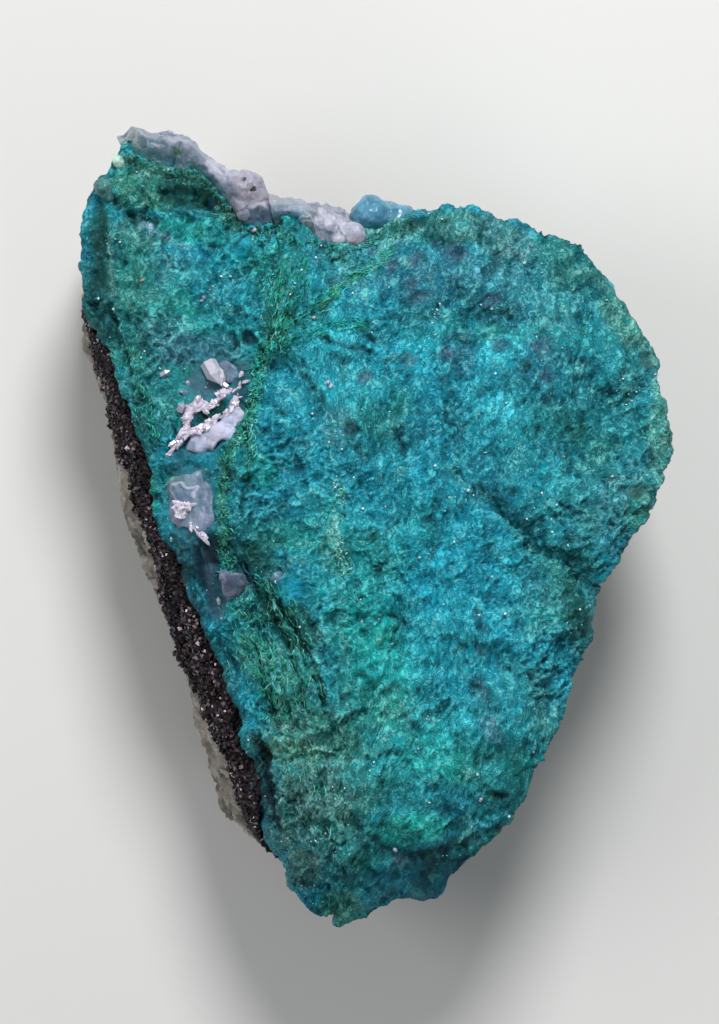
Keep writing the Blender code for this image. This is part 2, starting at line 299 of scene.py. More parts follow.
# Overlapping flakes: the highest of the small tilted domes that random points nearby carry. Gives the
# height, and a random number for each flake
def flakes(points, size, seed, tilt):
    best, owner = np.full(len(points), -9.0), np.zeros(len(points))
    for at, away in nearPoints(points / size, seed):
        lean = (scatterThree(at, seed + 3) * 2 - 1) * tilt
        height = (away * lean).sum(1) - (away**2).sum(1) + 0.4 * scatter(at, seed + 6)
        better = height > best
        best = np.where(better, height, best)
        owner = np.where(better, scatter(at, seed + 7), owner)
    return best, owner


# Round grains: distance to the nearest random point and to the second nearest, in cell sizes
def grains(points, size, seed):
    first, second = np.full(len(points), 9.0), np.full(len(points), 9.0)
    for _, away in nearPoints(points / size, seed):
        away = np.sqrt((away**2).sum(1))
        second = np.where(away < first, first, np.minimum(second, away))
        first = np.minimum(first, away)
    return first, second


# Meshes

# Puts an object in the scene
def showObject(made):
    bpy.context.scene.collection.objects.link(made)


# Writes points and faces, in millimetres, into an object at the origin
def makePiece(name, points, faces, smooth=True):
    mesh = bpy.data.meshes.new(name)
    mesh.from_pydata((np.asarray(points) * mm).tolist(), [], faces)
    mesh.validate()
    mesh.update()
    if smooth:
        mesh.shade_smooth()
    piece = bpy.data.objects.new(name, mesh)
    showObject(piece)
    return piece


# One property of all the items of a mesh, in rows of so many numbers
def fetch(items, key, width=1):
    values = np.empty(len(items) * width, np.float32)
    items.foreach_get(key, values)
    return values.reshape((-1, width) if width > 1 else -1).astype(float)


# Points and outward directions of a piece's vertices
def readPiece(piece):
    return fetch(piece.data.vertices, "co", 3) / mm, fetch(piece.data.vertices, "normal", 3)


# Writes points, in millimetres, over those of a piece
def movePiece(piece, points):
    piece.data.vertices.foreach_set("co", (points * mm).astype(np.float32).ravel())
    piece.data.update()


# Merges vertices that lie in the same place, or makes the faces of closed bodies look outwards
def tidyMesh(piece, merge):
    mesh = bmesh.new()
    mesh.from_mesh(piece.data)
    if merge:
        bmesh.ops.remove_doubles(mesh, verts=mesh.verts, dist=1e-7)
    else:
        bmesh.ops.recalc_face_normals(mesh, faces=mesh.faces)
    mesh.to_mesh(piece.data)
    mesh.free()
    piece.data.update()


# Stores numbers or colours, one for each vertex, under their names
def storeOn(piece, **stored):
    for name, values in stored.items():
        single = values.ndim == 1
        layer = piece.data.attributes.new(name, "FLOAT" if single else "FLOAT_COLOR", "POINT")
        if not single:
            values = np.column_stack([values, np.ones(len(values))])
        layer.data.foreach_set("value" if single else "color", values.astype(np.float32).ravel())


# Squares between the rows and columns of a grid whose points are numbered row by row
def gridFaces(rows, columns, start=0, closeRound=False):
    index = start + np.arange(rows * columns).reshape(rows, columns)
    if closeRound:
        index = np.column_stack([index, index[:, :1]])
    return np.stack([index[:-1, :-1], index[:-1, 1:], index[1:, 1:], index[1:, :-1]], axis=-1).reshape(-1, 4)


# Faces of a tube whose rows go round: each end row is joined to one point, after the grid's points
def tubeFaces(rows, columns, start=0):
    grid = gridFaces(rows, columns, start, closeRound=True)
    first = start + np.arange(columns)
    last = first + (rows - 1) * columns
    ends = [np.full(columns, start + rows * columns + end) for end in (0, 1)]
    foot = np.stack([np.roll(first, -1), first, ends[0]], axis=1)
    head = np.stack([last, np.roll(last, -1), ends[1]], axis=1)
    return grid.tolist() + foot.tolist() + head.tolist()


# Numbers of the points round a grid's edge, anticlockwise
def edgeWalk(rows, columns):
    index = np.arange(rows * columns).reshape(rows, columns)
    return np.concatenate([index[0, :-1], index[:-1, -1], index[-1, :0:-1], index[:0:-1, 0]])


# Closes a sheet: rings hang from its edge, one below the other, and a fan joins the last to one point
def hangRings(sheetPoints, rows, columns, rings, last):
    walk = edgeWalk(rows, columns)
    faces = [gridFaces(rows, columns)]
    points = [sheetPoints]
    above, total = walk, len(sheetPoints)
    for ring in rings:
        below = total + np.arange(len(walk))
        faces.append(np.stack([above, below, np.roll(below, -1), np.roll(above, -1)], axis=1))
        points.append(ring)
        above, total = below, total + len(walk)
    points.append(np.array([last]))
    fan = np.stack([np.roll(above, -1), above, np.full(len(walk), total)], axis=1)
    return np.concatenate(points), np.concatenate(faces).tolist() + fan.tolist()


# Squares turned into circles: share is how far out, angle the place round, on nested squares
def nestedSquares(cells):
    u, v = np.meshgrid(np.linspace(-1, 1, cells + 1), np.linspace(-1, 1, cells + 1))
    u, v = u.ravel(), v.ravel()
    share = np.maximum(np.abs(u), np.abs(v))
    safe = np.where(share > 0, share, 1.0)
    side = np.where(np.abs(u) >= np.abs(v), v / safe, u / safe) * pi / 4
    eastWest = np.where(u > 0, side, pi - side)
    northSouth = np.where(v > 0, pi / 2 - side, 1.5 * pi + side)
    return share, np.where(np.abs(u) >= np.abs(v), eastWest, northSouth)


# What the faces of some pieces are like: middle, outward direction and area, with stored numbers
def surfaceOf(pieces, stored=()):
    parts = []
    for piece in pieces:
        faces, loops = piece.data.polygons, piece.data.loops
        first, vertex = np.empty(len(faces), np.int32), np.empty(len(loops), np.int32)
        faces.foreach_get("loop_start", first)
        loops.foreach_get("vertex_index", vertex)
        part = {"middle": fetch(faces, "center", 3) / mm, "outward": fetch(faces, "normal", 3),
                "area": fetch(faces, "area")}
        for name in stored:
            part[name] = fetch(piece.data.attributes[name].data, "value")[vertex[first]]
        parts.append(part)
    return {name: np.concatenate([part[name] for part in parts]) for name in parts[0]}


# Numbers of random faces, likelier where they are large and their weight is high
def pick(surface, count, weight, random):
    share = surface["area"] * weight
    return random.choice(len(share), count, p=share / share.sum())


# Numbers of the faces that look up nearest to some places in plan
def faceUnder(surface, places):
    x, y = surface["middle"][:, 0], surface["middle"][:, 1]
    blocked = np.where(surface["outward"][:, 2] > 0.25, 0.0, 50.0)
    return np.array([np.argmin((x - spotX) ** 2 + (y - spotY) ** 2 + blocked) for spotX, spotY in places])


# Three square directions for each copy: along, across and up, made from two that aren't quite square
def squareUp(along, up):
    along = along / np.linalg.norm(along, axis=1)[:, None]
    across = np.cross(up, along)
    across /= np.linalg.norm(across, axis=1)[:, None]
    return np.stack([along, across, np.cross(along, across)], axis=2)


# Copies of one small shape, each stretched along its own directions and put in its place, joined
def joinCopies(shape, shapeFaces, places, directions, sizes):
    points = np.einsum("cij,cpj->cpi", directions, shape * sizes[:, None, :]) + places[:, None, :]
    faces = np.array(shapeFaces) + (np.arange(len(places)) * len(shape))[:, None, None]
    return points.reshape(-1, 3), faces.reshape(-1, 3).tolist()


# Small shapes to copy: an uneven cube, an eight-sided grain, and a six-sided crystal with a point
grainCube = np.array([(x, y, z) for x in (-0.5, 0.5) for y in (-0.5, 0.5) for z in (-0.5, 0.5)])
grainCube *= np.array([1.0, 0.82, 0.9, 1.06, 0.94, 1.1, 0.8, 1.0])[:, None]
cubeFaces = ((0, 1, 3), (0, 3, 2), (4, 6, 7), (4, 7, 5), (0, 4, 5), (0, 5, 1),
             (2, 3, 7), (2, 7, 6), (0, 2, 6), (0, 6, 4), (1, 5, 7), (1, 7, 3))
grainEight = np.array(((0.5, 0, 0), (-0.5, 0, 0), (0, 0.5, 0), (0, -0.5, 0), (0, 0, 0.5), (0, 0, -0.5)))
eightFaces = ((0, 2, 4), (2, 1, 4), (1, 3, 4), (3, 0, 4), (2, 0, 5), (1, 2, 5), (3, 1, 5), (0, 3, 5))


# A crystal along X: two rings of six points, a blunt foot and a sharp tip
def crystalShape(shoulder):
    turn = np.arange(6) * pi / 3
    rings = [(x, 0.5 * cos(a), 0.5 * sin(a)) for x in (0.0, shoulder) for a in turn]
    return np.array(rings + [(-0.1, 0, 0), (1.0, 0, 0)])


# Random colours from rows of share and colour
def drawTints(rows, count, random):
    shares, palette = [np.array([row[0] for row in rows]), np.array([linear(row[1]) for row in rows])]
    return palette[random.choice(len(rows), count, p=shares / shares.sum())]


# Random square directions: two random arrows, made square
def tumble(count, random):
    return squareUp(random.normal(size=(count, 3)), random.normal(size=(count, 3)))


# Rings of points on circles round the X axis, from one tip to the other, each lifted by its bow
def spindle(stations, around):
    turn = np.linspace(0, 2 * pi, around, endpoint=False)
    rows = [[(x, bow + radius * cos(a), radius * sin(a)) for a in turn] for x, radius, bow in stations]
    points = np.array(rows).reshape(-1, 3)
    return np.concatenate([points, [(-0.5, 0, 0), (0.5, 0, 0)]])


# Triangles of a spindle
def spindleFaces(rings, around):
    faces = []
    for face in tubeFaces(rings, around):
        faces += [face] if len(face) == 3 else [face[:3], [face[0], face[2], face[3]]]
    return [face[::-1] for face in faces]


# Directions lying on the surface at a heading, turned at random within a spread and lifted at one end
def layAlong(outward, heading, spreadAngle, lift, random):
    turn = heading + (random.random(len(outward)) - 0.5) * spreadAngle
    flat = pointsOf(np.cos(turn), np.sin(turn), 0)
    flat -= outward * (flat * outward).sum(1)[:, None]
    flat /= np.maximum(np.linalg.norm(flat, axis=1), 0.05)[:, None]
    return flat + outward * (lift * random.random(len(outward)))[:, None]


# Colours

# Display values from 0 to 255 turned into the linear values that shaders take
def linear(colour):
    share = np.array(colour) / 255.0
    return np.where(share <= 0.04045, share / 12.92, ((share + 0.055) / 1.055) ** 2.4)


colours = {
    "teal": (0, 132, 154), "petrol": (0, 86, 102), "blue": (4, 156, 182), "aqua": (62, 176, 192),
    "jade": (32, 166, 154), "green": (14, 124, 112), "fir": (2, 58, 50), "moss": (60, 94, 74),
    "olive": (88, 130, 110), "lichen": (78, 118, 110), "ink": (3, 26, 36), "slate": (78, 104, 124),
    "mauve": (84, 90, 116), "lilac": (158, 156, 182), "pale": (150, 204, 198), "sand": (150, 152, 134),
    "umber": (38, 28, 32), "night": (14, 42, 66), "leaf": (40, 146, 108), "milk": (112, 136, 158),
    "cloud": (198, 196, 212), "rose": (196, 172, 182), "glass": (22, 78, 102), "steel": (92, 106, 126),
    "mint": (92, 172, 158), "blush": (150, 128, 130), "drab": (92, 130, 134), "sage": (116, 152, 136),
    "ash": (100, 106, 98), "reed": (130, 158, 138), "fern": (18, 84, 66), "veil": (190, 196, 222),
    "lagoon": (34, 110, 130), "haze": (58, 120, 136),
}


# A named colour as linear values
def tone(name):
    return linear(colours[name])


# Colours moved a share of the way to another
def towards(colour, other, share):
    return colour + (other - colour) * share[:, None]


# What is painted and pressed into the break
breakMarks = {"gloss": 0.0, "plainHeading": 30}
# x, y, reach across, reach along, turn, colour, strength
breakMarks["tints"] = (
    # right-hand mass, from the top down
    (8, 15, 12, 10, 0, "petrol", 0.25), (22, 14, 5, 9, 0, "green", 0.35), (8, -14, 7, 6, 0, "aqua", 0.35),
    (26, 15, 2.2, 6, 0, "lichen", 0.4), (-2, 26.7, 3.2, 2.2, 0, "olive", 0.5),
    (0.5, 29.6, 4, 1.5, 0, "sage", 0.6), (7.5, 29.8, 5, 1.8, 0, "lichen", 0.9),
    (13, 28.8, 3.5, 1.8, -25, "drab", 0.95), (7, 25.6, 6.5, 2.4, 0, "slate", 0.6),
    (0.8, 25, 3, 2.2, 0, "slate", 0.4), (13, 25.4, 3, 2, -10, "drab", 0.5),
    (20, 25.6, 3.2, 2.4, -40, "lichen", 0.85), (25, 20.6, 1.9, 3.6, 35, "lichen", 0.9),
    (4.5, 21.6, 2.4, 1.8, 0, "petrol", 0.55), (12.3, 21.6, 3.2, 1.7, -10, "petrol", 0.85),
    (-5.6, 19.6, 4.6, 3.4, 0, "aqua", 0.75), (17.5, 21.5, 3, 2.2, -20, "drab", 0.5),
    (12.6, 17.4, 2.4, 1.7, 0, "aqua", 0.7), (4.6, 17.4, 2.4, 1.8, 0, "aqua", 0.6),
    (0.6, 17.6, 1.9, 1.9, 0, "teal", 0.6), (8.4, 17.4, 1.8, 2.2, 0, "slate", 0.5),
    (16.8, 17, 2.2, 2.4, 0, "slate", 0.45), (-3.5, 13.8, 2.4, 2, 0, "aqua", 0.85),
    (-3.6, 10, 1.8, 2.2, 0, "drab", 0.6), (12.6, 11.6, 2.6, 3.4, 15, "aqua", 0.65),
    (20.5, 12, 4, 4.5, 30, "petrol", 0.35), (18.5, 8.6, 4.2, 3, 30, "petrol", 0.6),
    (28.6, 9.4, 1.3, 6, 0, "sage", 0.6), (0.8, 9.4, 3, 2.6, 0, "petrol", 0.3),
    (24.5, 4.6, 3, 3, 20, "drab", 0.45), (17.5, 5.6, 3.2, 1.6, -30, "aqua", 0.3),
    (7, 3.2, 6.5, 3.2, -25, "teal", 0.7), (13.6, 3.6, 5.5, 2, -35, "petrol", 0.45),
    (-3.6, 1.2, 2, 2.8, 0, "aqua", 0.65), (-4, -2.8, 1.8, 2.2, 0, "lichen", 0.5),
    (22.5, 0.4, 2.6, 3.2, 30, "drab", 0.5), (20.4, -2.6, 1.7, 2.4, 25, "fir", 0.5),
    (7.5, -7, 6.5, 6.5, 25, "blue", 0.8), (-2.6, -6.6, 2.6, 2.2, 0, "jade", 0.5),
    (0.6, -10.4, 3, 3.4, 0, "jade", 0.9), (-3.2, -11, 2, 4.5, 10, "green", 0.6),
    (1, -15, 3.2, 2.6, 0, "jade", 0.55), (17.5, -7, 3.2, 3, 20, "drab", 0.4),
    (20.6, -10.4, 1.4, 6.5, 15, "fir", 0.7), (9.6, -18.4, 4.2, 2.4, 25, "aqua", 1),
    (0.6, -18.4, 2.4, 2.2, 0, "mint", 0.9), (7, -10.6, 3.6, 2.4, 15, "aqua", 0.6),
    (16.6, 5.4, 2, 2, 0, "aqua", 0.5), (16.8, -18.4, 2, 4.5, 25, "lichen", 0.7),
    (-3.4, -18.4, 2.2, 3.6, 0, "green", 0.7), (4.4, -23.4, 6, 2.8, 8, "jade", 0.55),
    (12.8, -22.6, 2.2, 3, 30, "fir", 0.45), (0.6, -27, 3.6, 2, 0, "green", 0.75),
    (-1.6, -26.4, 3.6, 1.8, 0, "fir", 0.35), (3.4, -30.2, 4.4, 1.5, 5, "jade", 0.95),
    (12.6, -27, 2, 2.2, 30, "fir", 0.7), (8.8, -30.4, 1.8, 1.8, 30, "fir", 0.6),
    (-2.6, -34.6, 2.4, 2, 20, "fir", 0.75), (-3.4, -38.4, 2.2, 1.8, 0, "olive", 0.8),
    # left-hand facet
    (-23.6, 34, 4, 1.8, -15, "olive", 0.9), (-20.4, 35.2, 3.4, 1.1, -15, "moss", 0.6),
    (-19.2, 33.4, 3.6, 1.7, -15, "fir", 0.5), (-23.6, 29.8, 2.8, 1.8, -10, "lichen", 0.9),
    (-19.6, 29.8, 2.8, 1.5, 0, "jade", 0.7), (-15.6, 30, 2.2, 1.8, 0, "green", 0.7),
    (-11.8, 29.4, 2.4, 1.8, 0, "aqua", 0.85), (-27.6, 29.4, 1.3, 2.4, 0, "lichen", 0.7),
    (-27.9, 23, 2, 5.6, 0, "ink", 0.85), (-23.8, 24.6, 2.2, 3.2, 0, "lichen", 0.8),
    (-19.8, 25.8, 2.6, 1.8, 0, "drab", 0.5), (-15.6, 25.6, 3.4, 2.2, 0, "teal", 0.7),
    (-21, 21.4, 4, 2.2, 0, "green", 0.5), (-21, 19.8, 3, 1.8, 0, "drab", 0.6),
    (-14.6, 21.4, 2.8, 2.2, 0, "petrol", 0.35), (-9.6, 24, 2, 4, 0, "green", 0.4),
    (-19.6, 17.8, 3.2, 1.7, 0, "slate", 0.85), (-15.4, 17.6, 2.2, 1.8, 0, "slate", 0.7),
    (-23.8, 17.6, 2, 2, 0, "lichen", 0.7), (-22.6, 13.2, 2, 3, 15, "lichen", 0.7),
    (-23.2, 9.4, 1.9, 2.6, 0, "fir", 0.75), (-9, 17, 2.2, 2.4, 0, "petrol", 0.45),
    (-10.4, 7.6, 2.4, 4.5, 0, "teal", 0.6), (-11.4, 5.6, 1.8, 1.8, 0, "jade", 0.6),
    (-15.4, 5.8, 1.5, 1.4, 0, "haze", 0.9), (-11.8, 17.6, 1.5, 1.8, 0, "aqua", 0.5),
    (-10.8, 1.8, 2.2, 2.2, 0, "petrol", 0.4), (-19.1, -2.8, 1.6, 3, 15, "ink", 0.9),
    (-15.6, -2.2, 1.4, 1.6, 0, "ink", 0.6), (-11.6, -2.8, 2.2, 2.6, 15, "fir", 0.9),
    (-11, -6.6, 2.4, 2.4, 20, "fir", 0.85), (-7.6, -10, 1.8, 3.2, 20, "fir", 0.8),
    (-12, -12, 2.2, 3.6, 20, "green", 0.6), (-12, -13, 1.9, 2.6, 20, "olive", 0.5),
    (-9.4, -8, 1.9, 2.6, 20, "fir", 0.5), (-8.6, -14.6, 2.2, 3, 20, "olive", 0.6),
    (-12.4, -17.6, 1.2, 3, 12, "blue", 0.7), (-7.6, -18.4, 2.2, 2.2, 8, "lichen", 0.8),
    (-7.8, -22.2, 3, 2.4, 8, "reed", 1), (-17.6, -9.4, 1.1, 3, 12, "night", 0.6),
    (-15, -14.6, 1.2, 3.4, 16, "petrol", 0.8), (-3.6, -22.4, 2.4, 2.4, 0, "olive", 0.8),
    (-5.6, -27.6, 3.2, 3.4, 10, "reed", 0.45), (-7.6, -26.4, 2.2, 2, 0, "ash", 0.85),
    (-3.6, -26.6, 2.2, 2, 0, "ash", 0.8), (-7.4, -30.4, 2, 2.2, 0, "ash", 0.9),
    (-3.4, -30.4, 2, 2, 0, "olive", 0.7), (-7.2, -34.4, 1.8, 2.4, 0, "ash", 0.8),
    (-11.2, -24.6, 1, 4.2, 12, "ink", 0.85),
)
# x, y, reach across, reach along, turn, colour, strength, gloss, lift
breakMarks["spots"] = (
    # hollows, knobs and glassy pools
    # the first spot is painted shade where the bottom turns under, with a glassy finish
    (5.4, -34.9, 5.6, 2.5, 8, "ink", 0.9, 0.7), (4.5, -38, 2.6, 1.2, 10, "slate", 0.6, 0.6),
    (-12.6, -3, 2.2, 3.6, 15, "fir", 0.3, 0, -0.3), (-8.6, -10, 2, 4.6, 22, "fir", 0.3, 0, -0.2),
    (-16.6, 13.4, 2.9, 3.8, 10, "haze", 0.85, 0.8, -0.1), (-17.2, 14.6, 1.9, 1.6, 0, "slate", 0.7, 0.9),
    (-13.4, 14.4, 1, 2.6, -10, "steel", 0.6, 0.9), (-18.6, 11.8, 1, 0.8, 0, "milk", 0.5, 0.9),
    (-16.4, 11.6, 1.8, 0.9, 35, "fir", 0.9, 0.8, -0.15), (-18.4, 6.8, 2.4, 1.6, 0, "haze", 0.7, 0.5),
    (-18.2, 2.4, 3.2, 3.6, 0, "haze", 0.7, 0.7), (-16.6, -4.6, 1.2, 4.6, 10, "night", 0.9, 0.8, -0.15),
    (-16.9, -3.4, 0.4, 2.2, 14, "steel", 0.6, 0.9), (-18.6, 33.1, 3.3, 1.1, -10, "fir", 0.95, 0.1, -0.9),
    (-16.2, 32.4, 1.2, 0.9, -30, "ink", 0.6, 0.1, -0.5),
    (10.8, 3.2, 1.3, 0.7, -35, "petrol", 0.8, 0.8, -0.2), (26.2, 3.6, 1.4, 0.8, 15, "lichen", 0.7, 0.8),
    (27.6, 17, 1.2, 1.2, 0, "lichen", 0.7, 0.8, 0.1), (-12.9, 14.4, 1, 3.4, -12, "glass", 0.6, 0.9, 0.1),
    (-12.6, 18.9, 0.9, 0.8, 20, "night", 0.8, 0.8, -0.15),
    (-16.6, -2.2, 1.6, 1.9, 10, "ink", 0.85, 0.8, -0.2), (-16, -6.8, 1.2, 2.9, 8, "slate", 0.8, 0.8, -0.1),
    (-14, -5.8, 1.6, 1.5, 0, "mauve", 0.85, 0.7, 0.15), (-8.5, -6.2, 1.5, 1.5, 15, "teal", 0.9, 0.6, 0.35),
    (-17.6, 6.4, 1.7, 0.9, 10, "teal", 0.8, 0.7, -0.1), (-22.4, 3.6, 0.8, 2.2, 10, "green", 0.9, 0, 0.3),
    (-10.9, -22.6, 0.7, 0.7, 0, "umber", 0.8, 0.3, -0.5), (-10, -22, 0.8, 0.8, 0, "olive", 0.7, 0.4, 0.3),
    (3, 30.5, 2.2, 0.5, 0, "moss", 0.6, 0, 0.1), (4, 30.4, 1.1, 0.6, 15, "fir", 0.8, 0, -0.3),
    # lens-shaped holes in the green fibres
    (-9.9, 25.5, 0.35, 0.7, 0, "umber", 0.7, 0.5, -0.35),
    (-9.2, 24.1, 0.35, 0.8, -8, "night", 0.8, 0.5, -0.35),
    (-8.6, 21.2, 0.4, 0.6, 30, "umber", 0.7, 0.5, -0.35), (-8, 20.7, 0.3, 0.6, 35, "night", 0.8, 0.5, -0.3),
    # mauve and dark patches
    (1.4, 26.4, 0.9, 0.7, 10, "mauve", 0.7, 0.3), (4.1, 26.9, 1, 0.7, 30, "mauve", 0.7, 0.3),
    (3.6, 24.3, 0.8, 0.9, 0, "mauve", 0.7, 0.3), (4.4, 23, 1.1, 0.6, 20, "mauve", 0.6, 0.3),
    (8.1, 27.3, 1.3, 0.8, 0, "mauve", 0.7, 0.3), (-1, 15, 0.9, 0.6, 20, "mauve", 0.75, 0.3, -0.1),
    (7.1, 17.4, 0.9, 0.6, 0, "mauve", 0.7, 0.3), (0, 27.7, 0.8, 0.5, 0, "mauve", 0.6, 0.3),
    (11.5, 22.7, 1.1, 0.8, 10, "mauve", 0.6, 0.3, -0.1), (12.5, 18.2, 1, 0.8, 0, "mauve", 0.6, 0.3, -0.1),
    (16.5, 18.2, 1.3, 0.8, 20, "mauve", 0.6, 0.3, -0.1), (17, 15.2, 0.9, 0.8, 0, "mauve", 0.6, 0.3),
    (-4, 24.3, 1, 0.4, 20, "mauve", 0.6, 0.3), (10.5, -16.4, 1, 1.4, 30, "mauve", 0.5, 0.2),
    (6.3, 28.4, 0.8, 0.6, 0, "night", 0.8, 0.4, -0.2), (-2.4, 9.9, 0.8, 0.6, 0, "ink", 0.7, 0.3, -0.3),
    (-5, 18.8, 0.9, 0.4, -20, "night", 0.7, 0.3, -0.25),
    (10.3, -9.2, 0.7, 1.1, 20, "petrol", 0.8, 0.2, -0.2),
    (10.6, -12.3, 0.6, 0.9, 30, "slate", 0.7, 0.2, -0.2),
    (-3.8, 16.9, 1.2, 0.5, -25, "ink", 0.5, 0.2, -0.25), (3.4, 16.8, 0.9, 0.8, 0, "mauve", 0.6, 0.3, -0.1),
    (-13.4, 28, 1.2, 0.8, 0, "teal", 0.6, 0.5, 0.1),
    # pale patches
    (-0.9, 23.3, 0.7, 0.3, 20, "pale", 0.7, 0, 0.1), (0.6, 27.8, 0.5, 0.3, 60, "pale", 0.8, 0.2, 0.1),
    (-4.1, -0.4, 0.7, 2, 10, "pale", 0.7, 0, 0.15), (-9.8, -5, 0.7, 0.4, 30, "lilac", 0.7, 0.3, 0.1),
    (1.5, 10, 1.4, 0.7, 20, "pale", 0.4, 0, 0.1), (-6.2, 29, 0.7, 0.5, 0, "jade", 0.7),
    (11.5, -20, 0.9, 1.6, 30, "lilac", 0.45), (2.5, -33.4, 0.8, 0.5, 0, "lilac", 0.5, 0.3, 0.1),
)
# colour, strength, half width, lift, gloss, points
breakMarks["lines"] = (
    # next line: painted shade along the crease below the right-hand lobe, raised a little
    ("petrol", 0.6, 0.8, 0.35, 0, ((9.5, 4.2), (12.5, 2.2), (16.5, -1.2), (19.8, -4.2), (22.3, -5.8))),
    ("pale", 0.3, 0.16, 0.08, 0, ((12, 1.2), (16, -2.2), (19.2, -5), (21.6, -6.6))),
    ("ink", 0.8, 0.2, -0.2, 0, ((18.2, 2.4), (19.5, 1.6), (20.8, 1.3))),
    ("pale", 0.7, 0.13, 0.08, 0, ((7.2, 6.5), (8.6, 4.4), (10, 2.2))),
    ("fir", 0.85, 0.36, -0.5, 0, ((-12.2, -5.6), (-10.4, -9), (-8.6, -12.2))),
    ("fir", 0.85, 0.32, -0.45, 0, ((-8.4, -13), (-7.4, -15.6), (-7.1, -18))),
    ("ink", 0.8, 0.28, -0.45, 0, ((-9.6, -7.4), (-8, -10.2), (-6.8, -12.8))),
    ("fir", 0.85, 0.32, -0.45, 0, ((-6.3, -13.6), (-5.4, -16.2), (-4.9, -18.6))),
    ("mint", 0.55, 0.16, 0.25, 0, ((-11.2, -5.4), (-9.6, -8.4), (-8.2, -11.2), (-7, -14.8))),
    ("mint", 0.5, 0.15, 0.22, 0, ((-8.4, -7.2), (-6.7, -10.2), (-5.6, -13.6))),
    ("olive", 0.6, 0.2, 0.25, 0, ((-9.6, -12), (-8.6, -15.4), (-8.2, -18.6))),
    ("fir", 0.8, 0.3, -0.4, 0, ((-8.8, -16.4), (-8.5, -18.6))),
    ("fir", 0.8, 0.3, -0.4, 0, ((-10.6, -17.4), (-10.3, -19.2))),
    ("fir", 0.8, 0.26, -0.35, 0, ((-12, -11.6), (-11.2, -14.6), (-11, -17))),
    ("sand", 0.35, 0.2, 0.15, 0, ((-3.2, -7.2), (-3.3, -10), (-2.8, -13.4))),
    ("sand", 0.3, 0.2, 0.12, 0, ((-3.1, -15.5), (-2.5, -19.5))),
    ("fir", 0.5, 0.3, -0.2, 0, ((-4, -8), (-3.9, -11.4))),
    ("fir", 0.5, 0.26, -0.2, 0, ((-3.7, -13.6), (-3.2, -17.6))),
    ("umber", 0.9, 0.6, -0.8, 0, ((-11.7, -21.8), (-11, -26), (-10, -30.2))),
    ("fir", 0.9, 0.5, -0.6, 0.1, ((-26.9, 33.2), (-25.2, 32.3), (-24, 31), (-22.4, 30.6))),
    ("fir", 0.9, 0.8, -0.3, 0.6, ((-27.9, 32.6), (-27.7, 30.3), (-27.8, 27.4), (-27.6, 24.6))),
    ("fir", 0.7, 0.45, -0.25, 0.2, ((-26.9, 22.2), (-25.9, 18.8), (-24.7, 15.6))),
    ("sand", 0.35, 0.3, 0.2, 0, ((-26.8, 29.4), (-26.6, 26.6), (-26.3, 23.2))),
    ("sage", 0.6, 0.4, 0.1, 0, ((22, 25.6), (25.6, 20.8), (28, 16.6), (29, 10.4), (28.4, 5.6),
     (26.2, 0.8))),
    # next line: a painted shadow beneath the lower bulge, pressed in a little
    ("ink", 0.7, 0.5, -0.2, 0.3, ((-0.4, -31.4), (2.4, -33.2), (6.4, -32.6), (9.4, -31.6), (12.4, -30))),
    ("lilac", 0.85, 0.34, 0.1, 0.2, ((-23.4, 30.7), (-22.3, 29.8), (-21.1, 29.3))),
    ("lilac", 0.5, 0.3, 0.1, 0.2, ((-21, 29.3), (-20.2, 28.5), (-18.8, 28.2))),
    ("olive", 0.8, 0.22, 0.2, 0, ((-24.4, 17.8), (-24.1, 15.4), (-23.8, 13))),
    ("olive", 0.7, 0.5, 0.3, 0, ((-12.8, 10.8), (-14.9, 7), (-15.2, 2.6), (-15.1, -1.4))),
    ("green", 0.8, 0.8, 0.2, 0, ((-10, 20), (-11.6, 17.2), (-12.1, 12.8))),
    ("green", 0.7, 1.4, 0.1, 0, ((-7.6, 30), (-9, 25), (-10, 20))),
    ("pale", 0.85, 0.17, 0.1, 0.3, ((-8.8, 13.8), (-8, 13.4), (-7.5, 12.4))),
    ("lichen", 0.85, 0.9, 0, 0.1, ((-26.4, 37.4), (-24.4, 36.8), (-20.8, 35.5), (-17.8, 34.8),
     (-15.9, 33.2), (-14, 30.6))),
    ("haze", 0.7, 0.6, 0, 0.2, ((-12.6, 29.4), (-10.2, 29.6), (-7.2, 29.6), (-5.2, 27.5), (-2.6, 27.5),
     (-0.6, 28.8))),
    ("moss", 0.8, 0.4, 0.25, 0, ((-24.5, 37.1), (-21.2, 35.8), (-18, 35.4), (-16.5, 33.9), (-14.5, 31.4))),
    ("pale", 0.5, 0.2, 0.1, 0, ((9.6, -29), (9.4, -30.6), (8.4, -31.4))),
    ("sand", 0.4, 0.25, 0.1, 0, ((-6.3, -24.8), (-5.7, -22))),
    ("night", 0.8, 0.22, -0.25, 0.2, ((-4.6, 18.6), (-2.6, 17.9), (-0.6, 17.8))),
    ("fir", 0.8, 0.3, -0.4, 0, ((-13.2, 10.4), (-12.4, 6.6), (-13.4, 2))),
)
# the way the strands run: x, y, reach, heading in degrees
breakMarks["headings"] = (
    (22, 4, 9, 22), (16, 14, 8, 10), (6, 24, 7, 35), (8, -6, 9, 35), (12, -20, 8, 50), (2, -16, 6, 30),
    (-8, -20, 6, 100), (-6, -32, 6, 95), (4, -32, 5, 20), (-9.5, 24, 3.5, 82), (-5.5, 23, 3, 40),
    (-13, 6, 3.5, 75), (-20, 12, 4, 20), (-19, 26, 6, 15), (-12, -9, 4, 70), (-2, 8, 5, 60),
)


